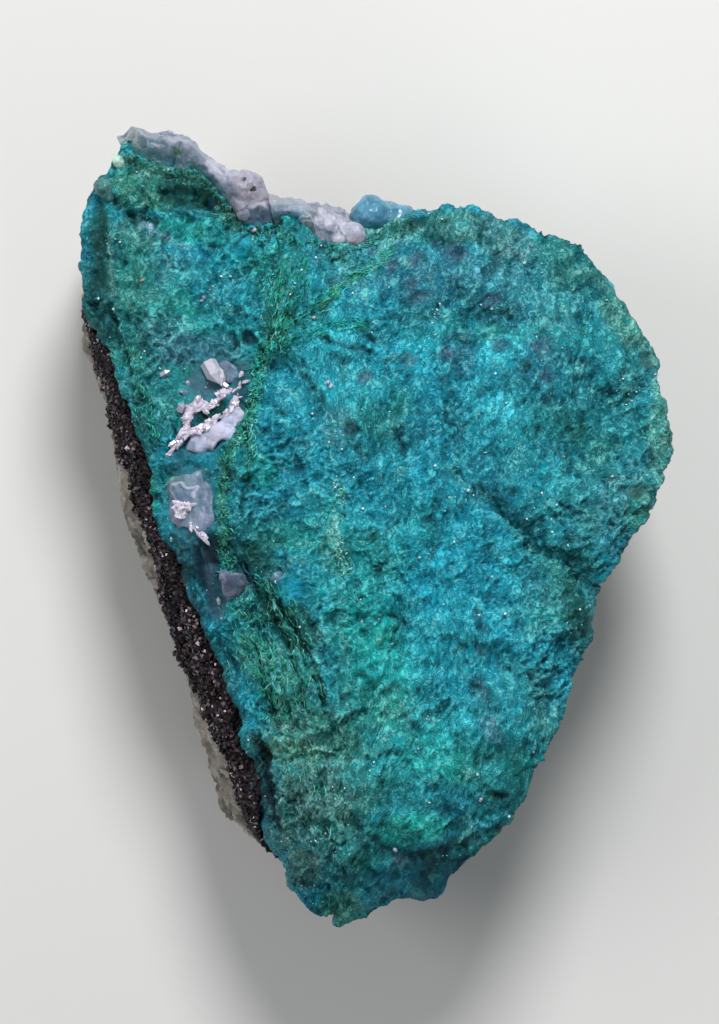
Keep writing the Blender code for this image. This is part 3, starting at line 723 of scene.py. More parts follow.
# Nearest distance from points to a chain of straight lines, and the heading of the nearest line
def nearestOn(x, y, chain):
    nearest, heading = np.full(len(x), 1e3), np.zeros(len(x))
    for (startX, startY), (endX, endY) in zip(chain[:-1], chain[1:]):
        runX, runY = endX - startX, endY - startY
        along = np.clip(((x - startX) * runX + (y - startY) * runY) / (runX**2 + runY**2), 0, 1)
        distance = np.hypot(x - startX - along * runX, y - startY - along * runY)
        heading = np.where(distance < nearest, np.arctan2(runY, runX), heading)
        nearest = np.minimum(nearest, distance)
    return nearest, heading


# How strongly a spot covers points: soft like a bell if it is broad, with a plain edge if it is small
def spotWeight(x, y, spot):
    centreX, centreY, reachX, reachY, turn = spot[:5]
    away = (x - centreX) + 1j * (y - centreY)
    away = away * np.exp(-1j * radians(turn))
    ratio = np.hypot(away.real / reachX, away.imag / reachY)
    if min(reachX, reachY) >= 2.0:
        return np.exp(-0.8 * ratio**2)
    return ease((1.2 - ratio) / 0.45)


# Lays marks over a colour, each over the last, with edges bent by noise. Gives colour, gloss and lift
def paintOver(points, colour, marks):
    wide = bend(points, 1.5, 4.0, 201)
    wide = bend(wide, 0.5, 1.3, 202)
    close = bend(points, 0.3, 0.8, 203)
    gloss, lift = np.full(len(points), marks["gloss"]), np.zeros(len(points))
    for spot in marks.get("tints", ()) + marks["spots"]:
        x, y = (wide if min(spot[2:4]) >= 2.0 else close)[:, :2].T
        weight = spotWeight(x, y, spot)
        name, strength, shine, raised = (*spot[5:], 0.0, 0.0)[:4]
        colour = towards(colour, tone(name), weight * strength)
        gloss += (shine - gloss) * weight
        lift += raised * weight
    for name, strength, width, raised, shine, chain in marks["lines"]:
        weight = np.exp(-((nearestOn(close[:, 0], close[:, 1], chain)[0] / width) ** 2))
        colour = towards(colour, tone(name), weight * strength)
        gloss += (shine - gloss) * weight
        lift += raised * weight
    return colour, gloss, lift


# The break: teal and green by noise, under its marks, which fade down the sides
def paintBreak(points):
    x, y, z = points.T
    leftwards = ease(beyondRidge(x, y) / 2) * ease((y - 4) / 10)
    blues = ease(0.78 + 0.8 * layers(points, 7.0, 2, 210) - 0.3 * leftwards)
    ground = towards(tone("green"), tone("teal"), blues)
    colour, gloss, lift = paintOver(points, ground, breakMarks)
    return towards(colour, ground, 0.85 * ease((breakHeight(x, y) - z - 1.0) / 4.0)), gloss, lift


# Heading of the strands: the plain one and those nearby, averaged as doubled angles, and bent by noise
def headingAt(points):
    x, y = points[:, 0], points[:, 1]
    total = np.exp(2j * np.radians(np.full(len(x), float(breakMarks["plainHeading"])))) * 0.15
    for centreX, centreY, reach, heading in breakMarks["headings"]:
        weight = np.exp(-((x - centreX) ** 2 + (y - centreY) ** 2) / reach**2)
        total += weight * np.exp(2j * radians(heading))
    return np.angle(total) / 2 + 0.7 * layers(points, 5.0, 2, 230)


# The two masses of chrysocolla

hangingEdge = {
    "pressedAbove": 12.0,  # the pressed part of a side starts at this height
    "turnDrop": 0.7,  # the side turns down this far below the edge of the break
    "footShare": 0.93, "footTuck": 2.5,  # from this share of the way down it runs in under the lump
    "hiddenReach": (0.3, 4.3),  # how far the first and last rings tucked under a piece run inwards
}
rightMass = {
    "centre": (5.5, -2.5), "cells": 254, "rings": 30, "ringPower": 1.15, "tuckDepth": 3.0,
    "crumble": 0.32,  # how far the edge wanders
    "lip": 0.55, "lipWidth": 0.9,  # rounding along the ridge
}
leftFacet = {
    "rows": 490, "columns": 128, "lowY": -39.3, "highY": 39.4, "crumble": 0.3, "trim": 0.55,
    "centre": (-13.0, 5.0), "rings": 22, "ringPower": 1.2, "tuckDepth": 2.0,
    # its right-hand edge runs under the right-hand mass and, at the top, under the pale crust
    "underlap": ((-2.6, -39.8), (-1.2, -33.0), (-0.6, -26.0), (-1.0, -19.0), (-3.2, -12.0), (-6.5, -6.0),
                 (-9.8, -3.5), (-12.0, 0.0), (-11.8, 6.8), (-10.2, 10.8), (-8.2, 18.8), (-8.4, 22.8),
                 (-6.2, 29.0), (-7.6, 31.2), (-11.2, 32.0), (-13.2, 34.6), (-16.4, 35.9), (-19.0, 37.6),
                 (-21.8, 38.6), (-23.2, 39.4)),
}


# Angles spread half by turn and half by the length of the edge, so that long ends aren't left coarse
def evenAngles(angle, outline, centre):
    turns = np.linspace(0, 2 * pi, 1441)
    reach = reachOf(outline, turns, centre)
    steps = np.hypot(*np.diff([reach * np.cos(turns), reach * np.sin(turns)], axis=1))
    walked = np.concatenate([[0.0], np.cumsum(steps)])
    return np.interp(angle % (2 * pi), 0.5 * turns + 0.5 * walked / walked[-1] * 2 * pi, turns)


# Height of the chrysocolla's lower edge round the lump
def chrysocollaFoot(angle):
    wander = pointsOf(np.cos(angle) * 12, np.sin(angle) * 12, 0)
    return lump["crustLevel"] + lump["crustWander"] * layers(wander, 7.0, 3, 301)


# Rings below an edge. Each drops from the edge towards the bottom, as far out as the side is there.
# Where the edge is tucked under another piece the rings run inwards instead
def sideRings(edge, options, tucked, inset, pressed):
    angle, reach = polarOf(edge[:, 0], edge[:, 1])
    top, bottom = edge[:, 2], chrysocollaFoot(angle)
    inwards = np.array(options["centre"]) - edge[:, :2]
    inwards /= np.linalg.norm(inwards, axis=1)[:, None]
    rings = []
    for step in np.linspace(0, 1, options["rings"] + 1)[1:] ** options["ringPower"]:
        height = top + (bottom - top) * step
        out = reach + sideReach(angle, height, top) - sideReach(angle, top, top)
        held = inset + pressed * ease((height - hangingEdge["pressedAbove"]) / 1.5)
        out -= held * ease((top - height - hangingEdge["turnDrop"]) / 0.6)
        footShare = hangingEdge["footShare"]
        out -= hangingEdge["footTuck"] * ease((step - footShare) / (1 - footShare))
        wall = placeRound(angle, out, height)
        hidden = edge.copy()
        hidden[:, :2] += inwards * between(hangingEdge["hiddenReach"], step)
        hidden[:, 2] -= options["tuckDepth"] * ease(step * 3)
        rings.append(wall + (hidden - wall) * tucked[:, None])
    return rings


relief = {
    # size of the cells or waves, and how far they push, in mm
    "swell": (5.0, 0.34), "plate": (3.2, 0.42), "chip": (1.3, 0.18), "crumple": (2.2, 0.55),
    "wrinkle": (0.85, 0.28), "hollow": (2.2, 0.30), "block": (5.0, 0.5),
    "drawnOut": 2.0, "calmShare": 0.88,
    # shade: plain, by chip, by plate, painted highlight on crests, painted shade in hollows
    "shade": (0.54, 0.24, 0.20, 0.74, 0.40),
    "crestMix": (0.6, 0.75, 0.25),  # crests from crumple, wrinkle and chips
    "crestCut": 0.46, "crestShare": 0.45,  # the crests past the cut take the crest tint
    "mottleFrom": (4.0, -20.0),  # the break is mottled most above the first line and below the second
    # the crest tint is pale: paler fibres, and painted highlight where the crests catch the light
    "crestHighlightTint": (88, 184, 190), "creamTint": (140, 182, 166),
}


# Places turned so that the strands' heading is the first axis, and squeezed along it
def drawnPlaces(points, heading, stretch):
    turned = (points[:, 0] + 1j * points[:, 1]) * np.exp(-1j * np.angle(np.exp(2j * heading).mean()) / 2)
    return pointsOf(turned.real / stretch, turned.imag, points[:, 2] * 0.8)


# One where the pale crust lies over the break
def underCrust(points):
    angle, reach = polarOf(points[:, 0], points[:, 1])
    foot = reachOf(np.array(chalcedonyCrust["lowerEdge"]), angle)
    rind = ease((reach - foot - 0.4) / 0.8) * ease((points[:, 2] - 11.5) / 2)
    return rind * sector(angle, 89.0, 119.6, 2.0)


# One where an agate body lies over the break: near its middle line, as wide as the body is there
def underAgate(points):
    share, total = np.linspace(0.06, 0.94, 14), np.zeros(len(points))
    for firstEdge, secondEdge, _, _ in agate["bodies"]:
        first, second = alongChain(firstEdge, share), alongChain(secondEdge, share)
        for middle, half in zip((first + second) / 2, np.hypot(*(first - second).T) / 2):
            away = np.hypot(points[:, 0] - middle[0], points[:, 1] - middle[1])
            total = np.maximum(total, ease((1.1 - away / half) / 0.4))
    return total * (points[:, 2] > 12.0)


# Roughens a mass outwards along its normals, and stores what its material reads: a tint with painted
# highlight on the crests and painted shade in the hollows
def finishMass(piece):
    points, outward = readPiece(piece)
    upward = ease((outward[:, 2] + 0.1) / 0.7)
    colour, gloss, lift = paintBreak(points)
    heading = headingAt(points)
    bent = bend(points, 0.7, 2.4, 401)
    plate, plateOwner = flakes(bent, relief["plate"][0], 410, 1.1)
    chip, chipOwner = flakes(bend(points, 0.35, 0.9, 402), relief["chip"][0], 420, 1.2)
    drawn = bend(drawnPlaces(bent, heading, relief["drawnOut"]), 0.5, 1.3, 403)
    crumple = ridged(drawn, relief["crumple"][0], 4, 430)
    wrinkle = ridged(bend(points, 0.4, 0.8, 404), relief["wrinkle"][0], 3, 435)
    hollow = ease(-layers(points, relief["hollow"][0], 3, 440) * 2.2 - 0.55)
    covered = underCrust(points)
    agateShare = underAgate(points)
    colour = towards(colour, tone("haze"), 0.75 * agateShare)
    gloss = np.maximum(gloss, 0.9 * np.maximum(agateShare, covered))
    calm = 1 - relief["calmShare"] * np.clip(gloss, 0, 1)
    rough = calm * (0.55 + 0.6 * ease(layers(points, 8.0, 2, 445) * 1.6 + 0.5)) * (0.45 + 0.55 * upward)
    push = relief["swell"][1] * layers(points, relief["swell"][0], 2, 450) + lift * upward
    push += calm * (relief["plate"][1] * (plate - 0.25) + relief["chip"][1] * (chip - 0.2))
    push += rough * (relief["crumple"][1] * (crumple - 0.2) + relief["wrinkle"][1] * (wrinkle - 0.2))
    push -= calm * relief["hollow"][1] * hollow + (0.3 + 0.7 * upward) * (covered + 0.3 * agateShare)
    push += (1 - upward) * relief["block"][1] * (flakes(bent, relief["block"][0], 460, 1.1)[0] - 0.2)
    movePiece(piece, points + outward * push[:, None])
    byCrumple, byWrinkle, byChips = relief["crestMix"]
    crest = np.clip(byCrumple * crumple + byWrinkle * wrinkle + byChips * (chip - 0.2), 0, 1) * calm
    # painted light and shade: the raised crests are made lighter, and the pressed-in hollows darker
    plain, byChip, byPlate, crestHighlight, hollowShade = relief["shade"]
    shade = plain + byChip * chipOwner + byPlate * plateOwner + crestHighlight * crest - hollowShade * hollow * calm
    # the pale tint laid on the crests below is painted highlight on the fibre crests, as well as paler
    # fibres
    rare = ease(layers(points, 3.0, 2, 470) * 2 + 0.1)
    edge = towards(linear(relief["crestHighlightTint"]), linear(relief["creamTint"]), rare)
    bright = np.clip(colour.max(1) / 0.24, 0.1, 1)  # dark places keep dark crests
    share = ease((crest - relief["crestCut"]) / 0.3) * ease(layers(points, 1.7, 2, 475) * 2 + 0.6)
    share = share * relief["crestShare"] * bright
    tint = np.clip(towards(colour * shade[:, None], edge, share), 0, 0.9)
    x, y, _ = points.T
    upper, lower = relief["mottleFrom"]
    mottle = np.maximum(ease((y - upper) / 14.0), ease((lower - y) / 6.0))
    mottle = 0.35 + 0.65 * np.maximum(mottle, 0.6 * ease(beyondRidge(x, y) / 2.0))
    storeOn(piece, tint=tint, gloss=np.clip(gloss, 0, 1), crest=crest, heading=heading, mottle=mottle)
    return piece


# The right-hand mass: nested squares spread from its centre to the break's outline and the ridge, at the
# height of the break, rounded off along the ridge
def buildRightMass():
    border = np.concatenate([breakOutline[cornerAt(notch):cornerAt(tailTip) + 1], ridgeLine[1:]])
    centre, cells = rightMass["centre"], rightMass["cells"]
    share, angle = nestedSquares(cells)
    angle = evenAngles(angle, border, centre)
    reach = reachOf(border, angle, centre)
    rim = pointsOf(centre[0] + reach * np.cos(angle), centre[1] + reach * np.sin(angle), 0)
    reach = reach + rightMass["crumble"] * layers(rim, 1.7, 3, 320) * share**8
    x, y = centre[0] + share * reach * np.cos(angle), centre[1] + share * reach * np.sin(angle)
    inside = np.clip(-beyondRidge(x, y) / rightMass["lipWidth"], 0.0, 1.0)
    z = breakHeight(x, y) - rightMass["lip"] * (1 - inside) ** 2
    sheet = pointsOf(x, y, z)
    edge = sheet[edgeWalk(cells + 1, cells + 1)]
    tucked = ease(1.4 + beyondRidge(edge[:, 0], edge[:, 1]) / 0.8) * (np.abs(edge[:, 1] + 5) < 34.8)
    rings = sideRings(edge, rightMass, tucked, 0.0, 0.0)
    return finishMass(makePiece("right_mass",
                                *hangRings(sheet, cells + 1, cells + 1, rings, (*centre, 7.0))))


# The left-hand facet: rows straight across, from the break's outline to the line where it runs under the
# right-hand mass, at the height of the break
def buildLeftFacet():
    rows, columns = leftFacet["rows"], leftFacet["columns"]
    underlap = np.array(leftFacet["underlap"])
    leftSide = breakOutline[cornerAt(tailTip):]
    y = np.linspace(leftFacet["lowY"], leftFacet["highY"], rows)
    leftX, rightX = [np.interp(y, edge[:, 1], edge[:, 0]) for edge in (leftSide, underlap)]
    leftX = leftX + leftFacet["crumble"] * layers(pointsOf(leftX, y, 0), 1.7, 3, 330)
    leftX = leftX + leftFacet["trim"] * ease((14 - y) / 8) * ease((y + 32) / 6)
    across = np.linspace(0, 1, columns)
    x = leftX[:, None] + (rightX - leftX)[:, None] * across
    x, y = x.ravel(), np.repeat(y, columns)
    beneath = ease((-beyondRidge(x, y) + 0.4) / 0.8)
    z = breakHeight(x, y) - 0.7 * beneath
    sheet = pointsOf(x, y, z)
    edge = sheet[edgeWalk(rows, columns)]
    angle, _ = polarOf(edge[:, 0], edge[:, 1])
    onRight = ease((edge[:, 0] - np.interp(edge[:, 1], underlap[:, 1], underlap[:, 0]) + 0.6) / 0.4)
    tucked = onRight * (edge[:, 1] > -38.5) * ease((32.0 - edge[:, 1]) / 1.5)
    inset, pressed = 1.3 * darkSide(angle), 1.0 * sector(angle, 88, 121, 3)
    rings = sideRings(edge, leftFacet, tucked, inset, pressed)
    return finishMass(makePiece("left_facet",
                                *hangRings(sheet, rows, columns, rings, (*leftFacet["centre"], 7.0))))


# Node helpers

# A material with its node tree and its one surface shader
def newMaterial(name):
    material = bpy.data.materials.new(name)
    material.use_nodes = True
    return material, material.node_tree, material.node_tree.nodes["Principled BSDF"]


# Sets a node's inputs: a socket is linked, and anything else is a constant
def feed(tree, node, inputs):
    for socket, value in inputs.items():
        if isinstance(value, bpy.types.NodeSocket):
            tree.links.new(value, node.inputs[socket])
        else:
            node.inputs[socket].default_value = value
    return node


# Adds a node: settings are its own properties
def addNode(tree, kind, inputs, **settings):
    made = tree.nodes.new(kind)
    for key, value in settings.items():
        setattr(made, key, value)
    return feed(tree, made, inputs)


# One sum on up to three numbers
def mathNode(tree, operation, first, second=0.0, third=0.0):
    return addNode(tree, "ShaderNodeMath", {0: first, 1: second, 2: third}, operation=operation).outputs[0]


# Product of numbers, some of them sockets
def times(tree, first, *others):
    for other in others:
        first = mathNode(tree, "MULTIPLY", first, other)
    return first


# One sum on up to three places
def vectorMath(tree, operation, first, second, third=(0, 0, 0)):
    return addNode(tree, "ShaderNodeVectorMath", {0: first, 1: second, 2: third},
                   operation=operation).outputs[0]


# One channel of a colour
def channel(tree, colour, number):
    return addNode(tree, "ShaderNodeSeparateColor", {0: colour}).outputs[number]


# Two colours mixed by a share, or blended in another way
def mixColour(tree, share, first, second, blend="MIX"):
    inputs = {0: share, 6: first, 7: second}
    return addNode(tree, "ShaderNodeMix", inputs, data_type="RGBA", blend_type=blend).outputs[2]


# A colour multiplied by another, or by a grey
def multiplied(tree, colour, factor):
    if isinstance(factor, bpy.types.NodeSocket):
        factor = addNode(tree, "ShaderNodeCombineColor", {0: factor, 1: factor, 2: factor}).outputs[0]
    return mixColour(tree, 1.0, colour, factor, "MULTIPLY")


# A value stretched from one range to another, and held at the ends
def spread(tree, value, low, high, newLow=0.0, newHigh=1.0):
    inputs = {0: value, 1: low, 2: high, 3: newLow, 4: newHigh}
    return addNode(tree, "ShaderNodeMapRange", inputs).outputs[0]


# What a piece stores under a name
def attribute(tree, name, output="Fac"):
    return addNode(tree, "ShaderNodeAttribute", {}, attribute_name=name).outputs[output]


# Noise from about 0 to 1, at so many waves per millimetre
def noiseNode(tree, vector, scale, detail=3.0, roughness=0.55, distortion=0.0):
    inputs = {"Vector": vector, "Scale": scale, "Detail": detail, "Roughness": roughness,
              "Distortion": distortion}
    return addNode(tree, "ShaderNodeTexNoise", inputs).outputs[0]


# Bump from a height, pushed out by a distance in millimetres
def addBump(tree, surface, height, distance, strength=0.8):
    bump = addNode(tree, "ShaderNodeBump",
                   {"Height": height, "Distance": distance * mm, "Strength": strength})
    feed(tree, surface, {"Normal": bump.outputs[0]})


# A colour for a socket, from its name or its display values
def rgba(colour):
    return (*(tone(colour) if isinstance(colour, str) else linear(colour)), 1.0)


# Object coordinates counted in millimetres
def millimetres(tree):
    place = addNode(tree, "ShaderNodeTexCoord", {}).outputs["Object"]
    return vectorMath(tree, "MULTIPLY", place, (1000, 1000, 1000))


# Crumpled strands: noise folded at its middle, drawn out along a heading that turns from cell to cell.
# Nought lies along each strand
def feltNode(tree, place, heading, cellScale, strandScale, drawn, turnSpread):
    cell = addNode(tree, "ShaderNodeTexVoronoi", {"Vector": place, "Scale": cellScale, "Randomness": 1.0},
                   feature="SMOOTH_F1")
    feed(tree, cell, {"Smoothness": 0.6})
    turn = mathNode(tree, "MULTIPLY_ADD", channel(tree, cell.outputs["Color"], 0), -turnSpread,
                    turnSpread / 2)
    turn = mathNode(tree, "SUBTRACT", turn, heading)
    offset = vectorMath(tree, "SUBTRACT", place, cell.outputs["Position"])
    turned = addNode(tree, "ShaderNodeVectorRotate", {"Vector": offset, "Angle": turn},
                     rotation_type="Z_AXIS")
    drawnOut = (strandScale / drawn, strandScale, strandScale * 0.7)
    shift = vectorMath(tree, "MULTIPLY", cell.outputs["Position"], (1.7, 1.3, 1.1))
    drawn = vectorMath(tree, "MULTIPLY_ADD", turned.outputs[0], drawnOut, shift)
    waves = noiseNode(tree, drawn, 1.0, 1.2, 0.5, 0.6)
    return mathNode(tree, "ABSOLUTE", mathNode(tree, "SUBTRACT", waves, 0.5))


chrysocolla = {
    # cells per mm, strands per mm, how drawn out, turn in radians
    "felt": ((0.8, 1.9, 1.9, 2.6), (1.3, 2.3, 2.2, 4.0)),
    "strandCut": ((0.08, 0.02, 0.0, 1.0), (0.075, 0.02, 0.0, 0.9)),
    # the lift makes a lighter copy of the tint for the strands, painted highlight; the gap tint a darker
    # copy for the gaps, painted shade
    "strandShare": 0.85, "strandTint": (118, 198, 202), "lift": (1.3, 1.42, 1.38, 1.0),
    "dim": (0.1, 0.68, 0.73, 1.0), "gapShadeTint": (0.05, 0.42, 0.46, 1.0),
    "roughness": 0.48, "glossRoughness": 0.14, "bump": 0.14, "specular": 0.12,
    # colour, size of the patches per mm, how wide the noise is cut, how strong
    "patches": (("mint", 0.45, (0.58, 0.64), 0.45), ("mauve", 0.45, (0.64, 0.67), 0.4),
                ("olive", 0.8, (0.62, 0.67), 0.5), ("aqua", 0.8, (0.57, 0.63), 0.5),
                ("petrol", 0.6, (0.56, 0.62), 0.65), ("ink", 1.2, (0.64, 0.69), 0.6),
                ("lilac", 1.6, (0.69, 0.71), 0.4)),
}


# The stored tint with patches of other colours, then painted shade in the gaps between strands, then pale
# felted strands lit up as painted highlight.
# Glossy places have less of each
def chrysocollaMaterial():
    material, tree, surface = newMaterial("chrysocolla_felt")
    options, place = chrysocolla, millimetres(tree)
    warp = addNode(tree, "ShaderNodeTexNoise",
                   {"Vector": place, "Scale": 1.1, "Detail": 3.0, "Roughness": 0.6})
    warp = vectorMath(tree, "MULTIPLY_ADD", warp.outputs["Color"], (1.2, 1.2, 1.2), place)
    heading, gloss, crest, mottle = [attribute(tree, name)
                                     for name in ("heading", "gloss", "crest", "mottle")]
    tint = attribute(tree, "tint", "Color")
    calm = mathNode(tree, "MULTIPLY_ADD", gloss, -0.85, 1.0)
    strands = [spread(tree, feltNode(tree, warp, heading, *row), *cutAt)
               for row, cutAt in zip(options["felt"], options["strandCut"])]
    strand = times(tree, mathNode(tree, "MAXIMUM", *strands), spread(tree, crest, 0.05, 0.5, 0.25, 1.0),
                   calm)
    strand = times(tree, strand, spread(tree, channel(tree, tint, 2), 0.02, 0.2, 0.25, 1.0))
    fine = noiseNode(tree, warp, 4.0, 4.0, 0.7)
    gapShade = times(tree, spread(tree, mathNode(tree, "MULTIPLY_ADD", crest, 0.5, fine), 0.55, 0.44), calm)
    for number, (name, size, (low, high), strength) in enumerate(options["patches"]):
        shifted = vectorMath(tree, "ADD", warp, (17.0 * number, 9.0, 5.0))
        patch = spread(tree, noiseNode(tree, shifted, size, 4.0, 0.65), low, high, 0.0, strength)
        patch = times(tree, patch, mottle, spread(tree, crest, 0.5, 0.2), calm)
        tint = mixColour(tree, patch, tint, rgba(name))
    # lit and shaded copies of the tint: painted highlight for the raised strands, painted shade for the
    # sunken gaps
    dim, dark, lift = [multiplied(tree, tint, options[key]) for key in ("dim", "gapShadeTint", "lift")]
    base = mixColour(tree, gapShade, mixColour(tree, calm, tint, dim), dark)
    lifted = mixColour(tree, 0.77, rgba(options["strandTint"]), lift)
    base = mixColour(tree, times(tree, strand, options["strandShare"]), base, lifted)
    roughness = spread(tree, gloss, 0.0, 1.0, options["roughness"], options["glossRoughness"])
    feed(tree, surface, {"Base Color": base, "Roughness": roughness,
                         "Specular IOR Level": options["specular"]})
    height = mathNode(tree, "MULTIPLY_ADD", fine, 0.8, mathNode(tree, "MULTIPLY_ADD", gapShade, -0.5, strand))
    addBump(tree, surface, height, options["bump"], 1.0)
    return material


# Loose fibres on the break

sparkles = {
    "count": 1300, "size": (0.08, 0.34), "proud": 0.02,
    # share, colour
    "tints": ((0.45, (196, 222, 226)), (0.35, (126, 190, 198)), (0.08, (196, 190, 204)),
              (0.12, (150, 190, 160))),
}


# Eight-sided grains on random faces, thick in some places by noise and thin in others
def buildSparkles(surface):
    options, random = sparkles, np.random.default_rng(830)
    count = options["count"]
    crowd = ease(layers(surface["middle"], 4.0, 2, 831) * 2.2 + 0.1) ** 3 + 0.05
    at = pick(surface, count, crowd * ease(surface["outward"][:, 2] * 2), random)
    size = between(options["size"], random.random(count) ** 5)[:, None] * (0.5 + random.random((count, 3)))
    proud = options["proud"] + 0.3 * size.mean(1)
    places = surface["middle"][at] + surface["outward"][at] * proud[:, None]
    points, faces = joinCopies(grainEight, eightFaces, places, tumble(count, random), size)
    piece = makePiece("quartz_sparkles", points, faces, smooth=False)
    storeOn(piece, tint=np.repeat(drawTints(options["tints"], count, random), len(grainEight), axis=0))
    return piece


malachite = {
    "length": (0.25, 0.9), "longLength": (0.6, 1.9), "width": (0.05, 0.11), "proud": 0.05,
    "shade": (0.7, 1.6),
    "shape": ((-0.3, 0.42, 1.4), (0.0, 0.5, 2.4), (0.3, 0.42, 1.2)),
}
# chain of points, half width, how many, long or short, spread in degrees, colours
malachite["rows"] = (
    # fan of fibres under the notch
    (((-9.3, 18.6), (-9.9, 22.6), (-9.6, 26)), 0.6, 330, True, 40, "mint leaf fir jade"),
    (((-9.3, 19.4), (-7.9, 22.6), (-6.8, 26.5)), 0.7, 330, True, 40, "leaf green jade fern"),
    (((-9.2, 19.2), (-6.4, 21.4), (-3.8, 23.5)), 0.6, 280, True, 40, "leaf mint green fir"),
    (((-5, 22.6), (-1.6, 25.2), (1.6, 27.3)), 0.5, 150, True, 45, "mint leaf jade"),
    (((-8.6, 18.2), (-4.6, 19.8), (-1, 20.2)), 0.5, 120, True, 50, "leaf green jade"),
    (((-11.8, 28.6), (-10.8, 24), (-10.4, 20.2)), 0.9, 200, False, 90, "leaf green fern mint"),
    # crumbly moss between the facet and the mass
    (((-10.2, 19), (-11.6, 16), (-12.1, 12.8)), 0.7, 640, False, 180, "mint leaf jade fir"),
    (((-12.4, 12.2), (-13.6, 9.2), (-15, 6.4), (-15.2, 2.6), (-15.1, -1.6), (-14.6, -4.6)),
     0.75, 1100, False, 180, "mint leaf leaf green fir"),
    (((-13.2, 11.2), (-12.2, 9.4), (-12.6, 7)), 0.5, 150, True, 60, "mint green"),
    # moss along the foot of the pale crust
    (((-25, 37), (-21.2, 35.7), (-18, 35.3), (-16.6, 33.8), (-14.5, 31.4)),
     0.6, 640, False, 180, "fern fir lichen green"),
    (((-13.6, 30.4), (-11.4, 29.4), (-9.6, 30.6), (-9.2, 29.2)),
     0.7, 220, False, 180, "fern fir leaf"),
    (((-6.4, 28.6), (-3, 27.2), (-0.4, 28.6), (2.8, 29.8)), 0.6, 260, False, 180, "fern leaf fir"),
    # along the ridge and the tail
    (((-3.6, 3.6), (-4, -0.6), (-3.2, -4.4)), 0.7, 170, False, 150, "pale mint leaf"),
    (((-9.4, -15), (-8.6, -19), (-7.4, -24), (-6.8, -29)), 2.4, 620, True, 60, "leaf fern mint lichen"),
    (((-13.4, -7.4), (-11.4, -12.6), (-9.6, -17.8)), 1.6, 420, True, 45, "leaf leaf jade mint"),
    (((-10.4, -6.4), (-8.2, -11), (-6.6, -16)), 1.1, 240, True, 40, "leaf leaf green mint"),
    (((-24.2, 17.6), (-23.6, 13.4), (-22, 9.8)), 0.9, 120, False, 60, "leaf jade green"),
)


# Joined slivers on the faces near each row's chain and along it
def buildMalachiteFibres(surface):
    options, random = malachite, np.random.default_rng(820)
    shape = spindle(options["shape"], 3)
    x, y = surface["middle"][:, 0], surface["middle"][:, 1]
    chosen, headings, lengths, tints = [], [], [], []
    for chain, halfWidth, count, long, spreadAngle, names in options["rows"]:
        distance, heading = nearestOn(x, y, chain)
        weight = np.exp(-((distance / halfWidth) ** 2)) * (distance < 2.5 * halfWidth)
        at = pick(surface, count, weight * ease(surface["outward"][:, 2] * 2), random)
        chosen.append(at)
        headings.append(heading[at] + radians(spreadAngle) * (random.random(count) - 0.5))
        lengths.append(between(options["longLength" if long else "length"], random.random(count) ** 1.5))
        palette = np.array([tone(name) for name in names.split()])
        tint = palette[random.integers(len(palette), size=count)]
        tints.append(tint * between(options["shade"], random.random(count))[:, None])
    at, count = np.concatenate(chosen), sum(len(row) for row in chosen)
    outward, length = surface["outward"][at], np.concatenate(lengths)
    along = layAlong(outward, np.concatenate(headings), 0.2, 0.35, random)
    width = between(options["width"], random.random(count)) * np.where(length < 1.0, 1.3, 1.0)
    places = surface["middle"][at] + outward * options["proud"]
    points, faces = joinCopies(shape, spindleFaces(3, 3), places, squareUp(along, outward),
                               np.stack([length, width, width], axis=1))
    piece = makePiece("malachite_fibres", points, faces)
    storeOn(piece, tint=np.clip(np.repeat(np.concatenate(tints), len(shape), axis=0), 0, 0.9))
    return piece


# The stored tint, streaked by noise
def fibreMaterial(name, roughness, specular):
    material, tree, surface = newMaterial(name)
    streak = noiseNode(tree, millimetres(tree), 4.0, 3.0, 0.6)
    base = multiplied(tree, attribute(tree, "tint", "Color"), spread(tree, streak, 0.3, 0.7, 0.65, 1.3))
    feed(tree, surface, {"Base Color": base, "Roughness": roughness, "Specular IOR Level": specular})
    return material


# Dark crust and host rock

darkCrust = {
    "leftColumns": 680, "otherColumns": 220, "rows": 44,
    "under": 0.55,  # how far below the edge of the break it starts
    "thinAbove": 0.5, "thinBelow": 0.9,  # the line it makes round the rest of the lump
    "backDepth": 2.2, "colour": (22, 14, 19), "paleColour": (54, 40, 48), "specular": 0.2,
    # relief in mm: grains, small grains, chunks, swell
    "relief": (0.42, 0.12, 0.45, 0.22),
    "grains": 5200, "grainSize": (0.16, 0.44),
    # share of the grains, and colour
    "grainColours": ((0.52, (15, 9, 13)), (0.24, (34, 24, 30)), (0.12, (70, 54, 63)),
                     (0.06, (122, 102, 114)), (0.03, (222, 200, 210)), (0.03, (10, 44, 54))),
}
hostRock = {
    "columns": 760, "wallRows": 34, "footRows": 7, "colour": (164, 159, 148), "darkColour": (86, 82, 78),
    # relief in mm: blocks, chips, swell, grains
    "relief": (0.5, 0.25, 0.25, 0.28),
}


# Height of the rim above each angle
def rimHeight(angle):
    reach = reachOf(breakOutline, angle)
    return breakHeight(*placeRound(angle, reach, 0)[:, :2].T)


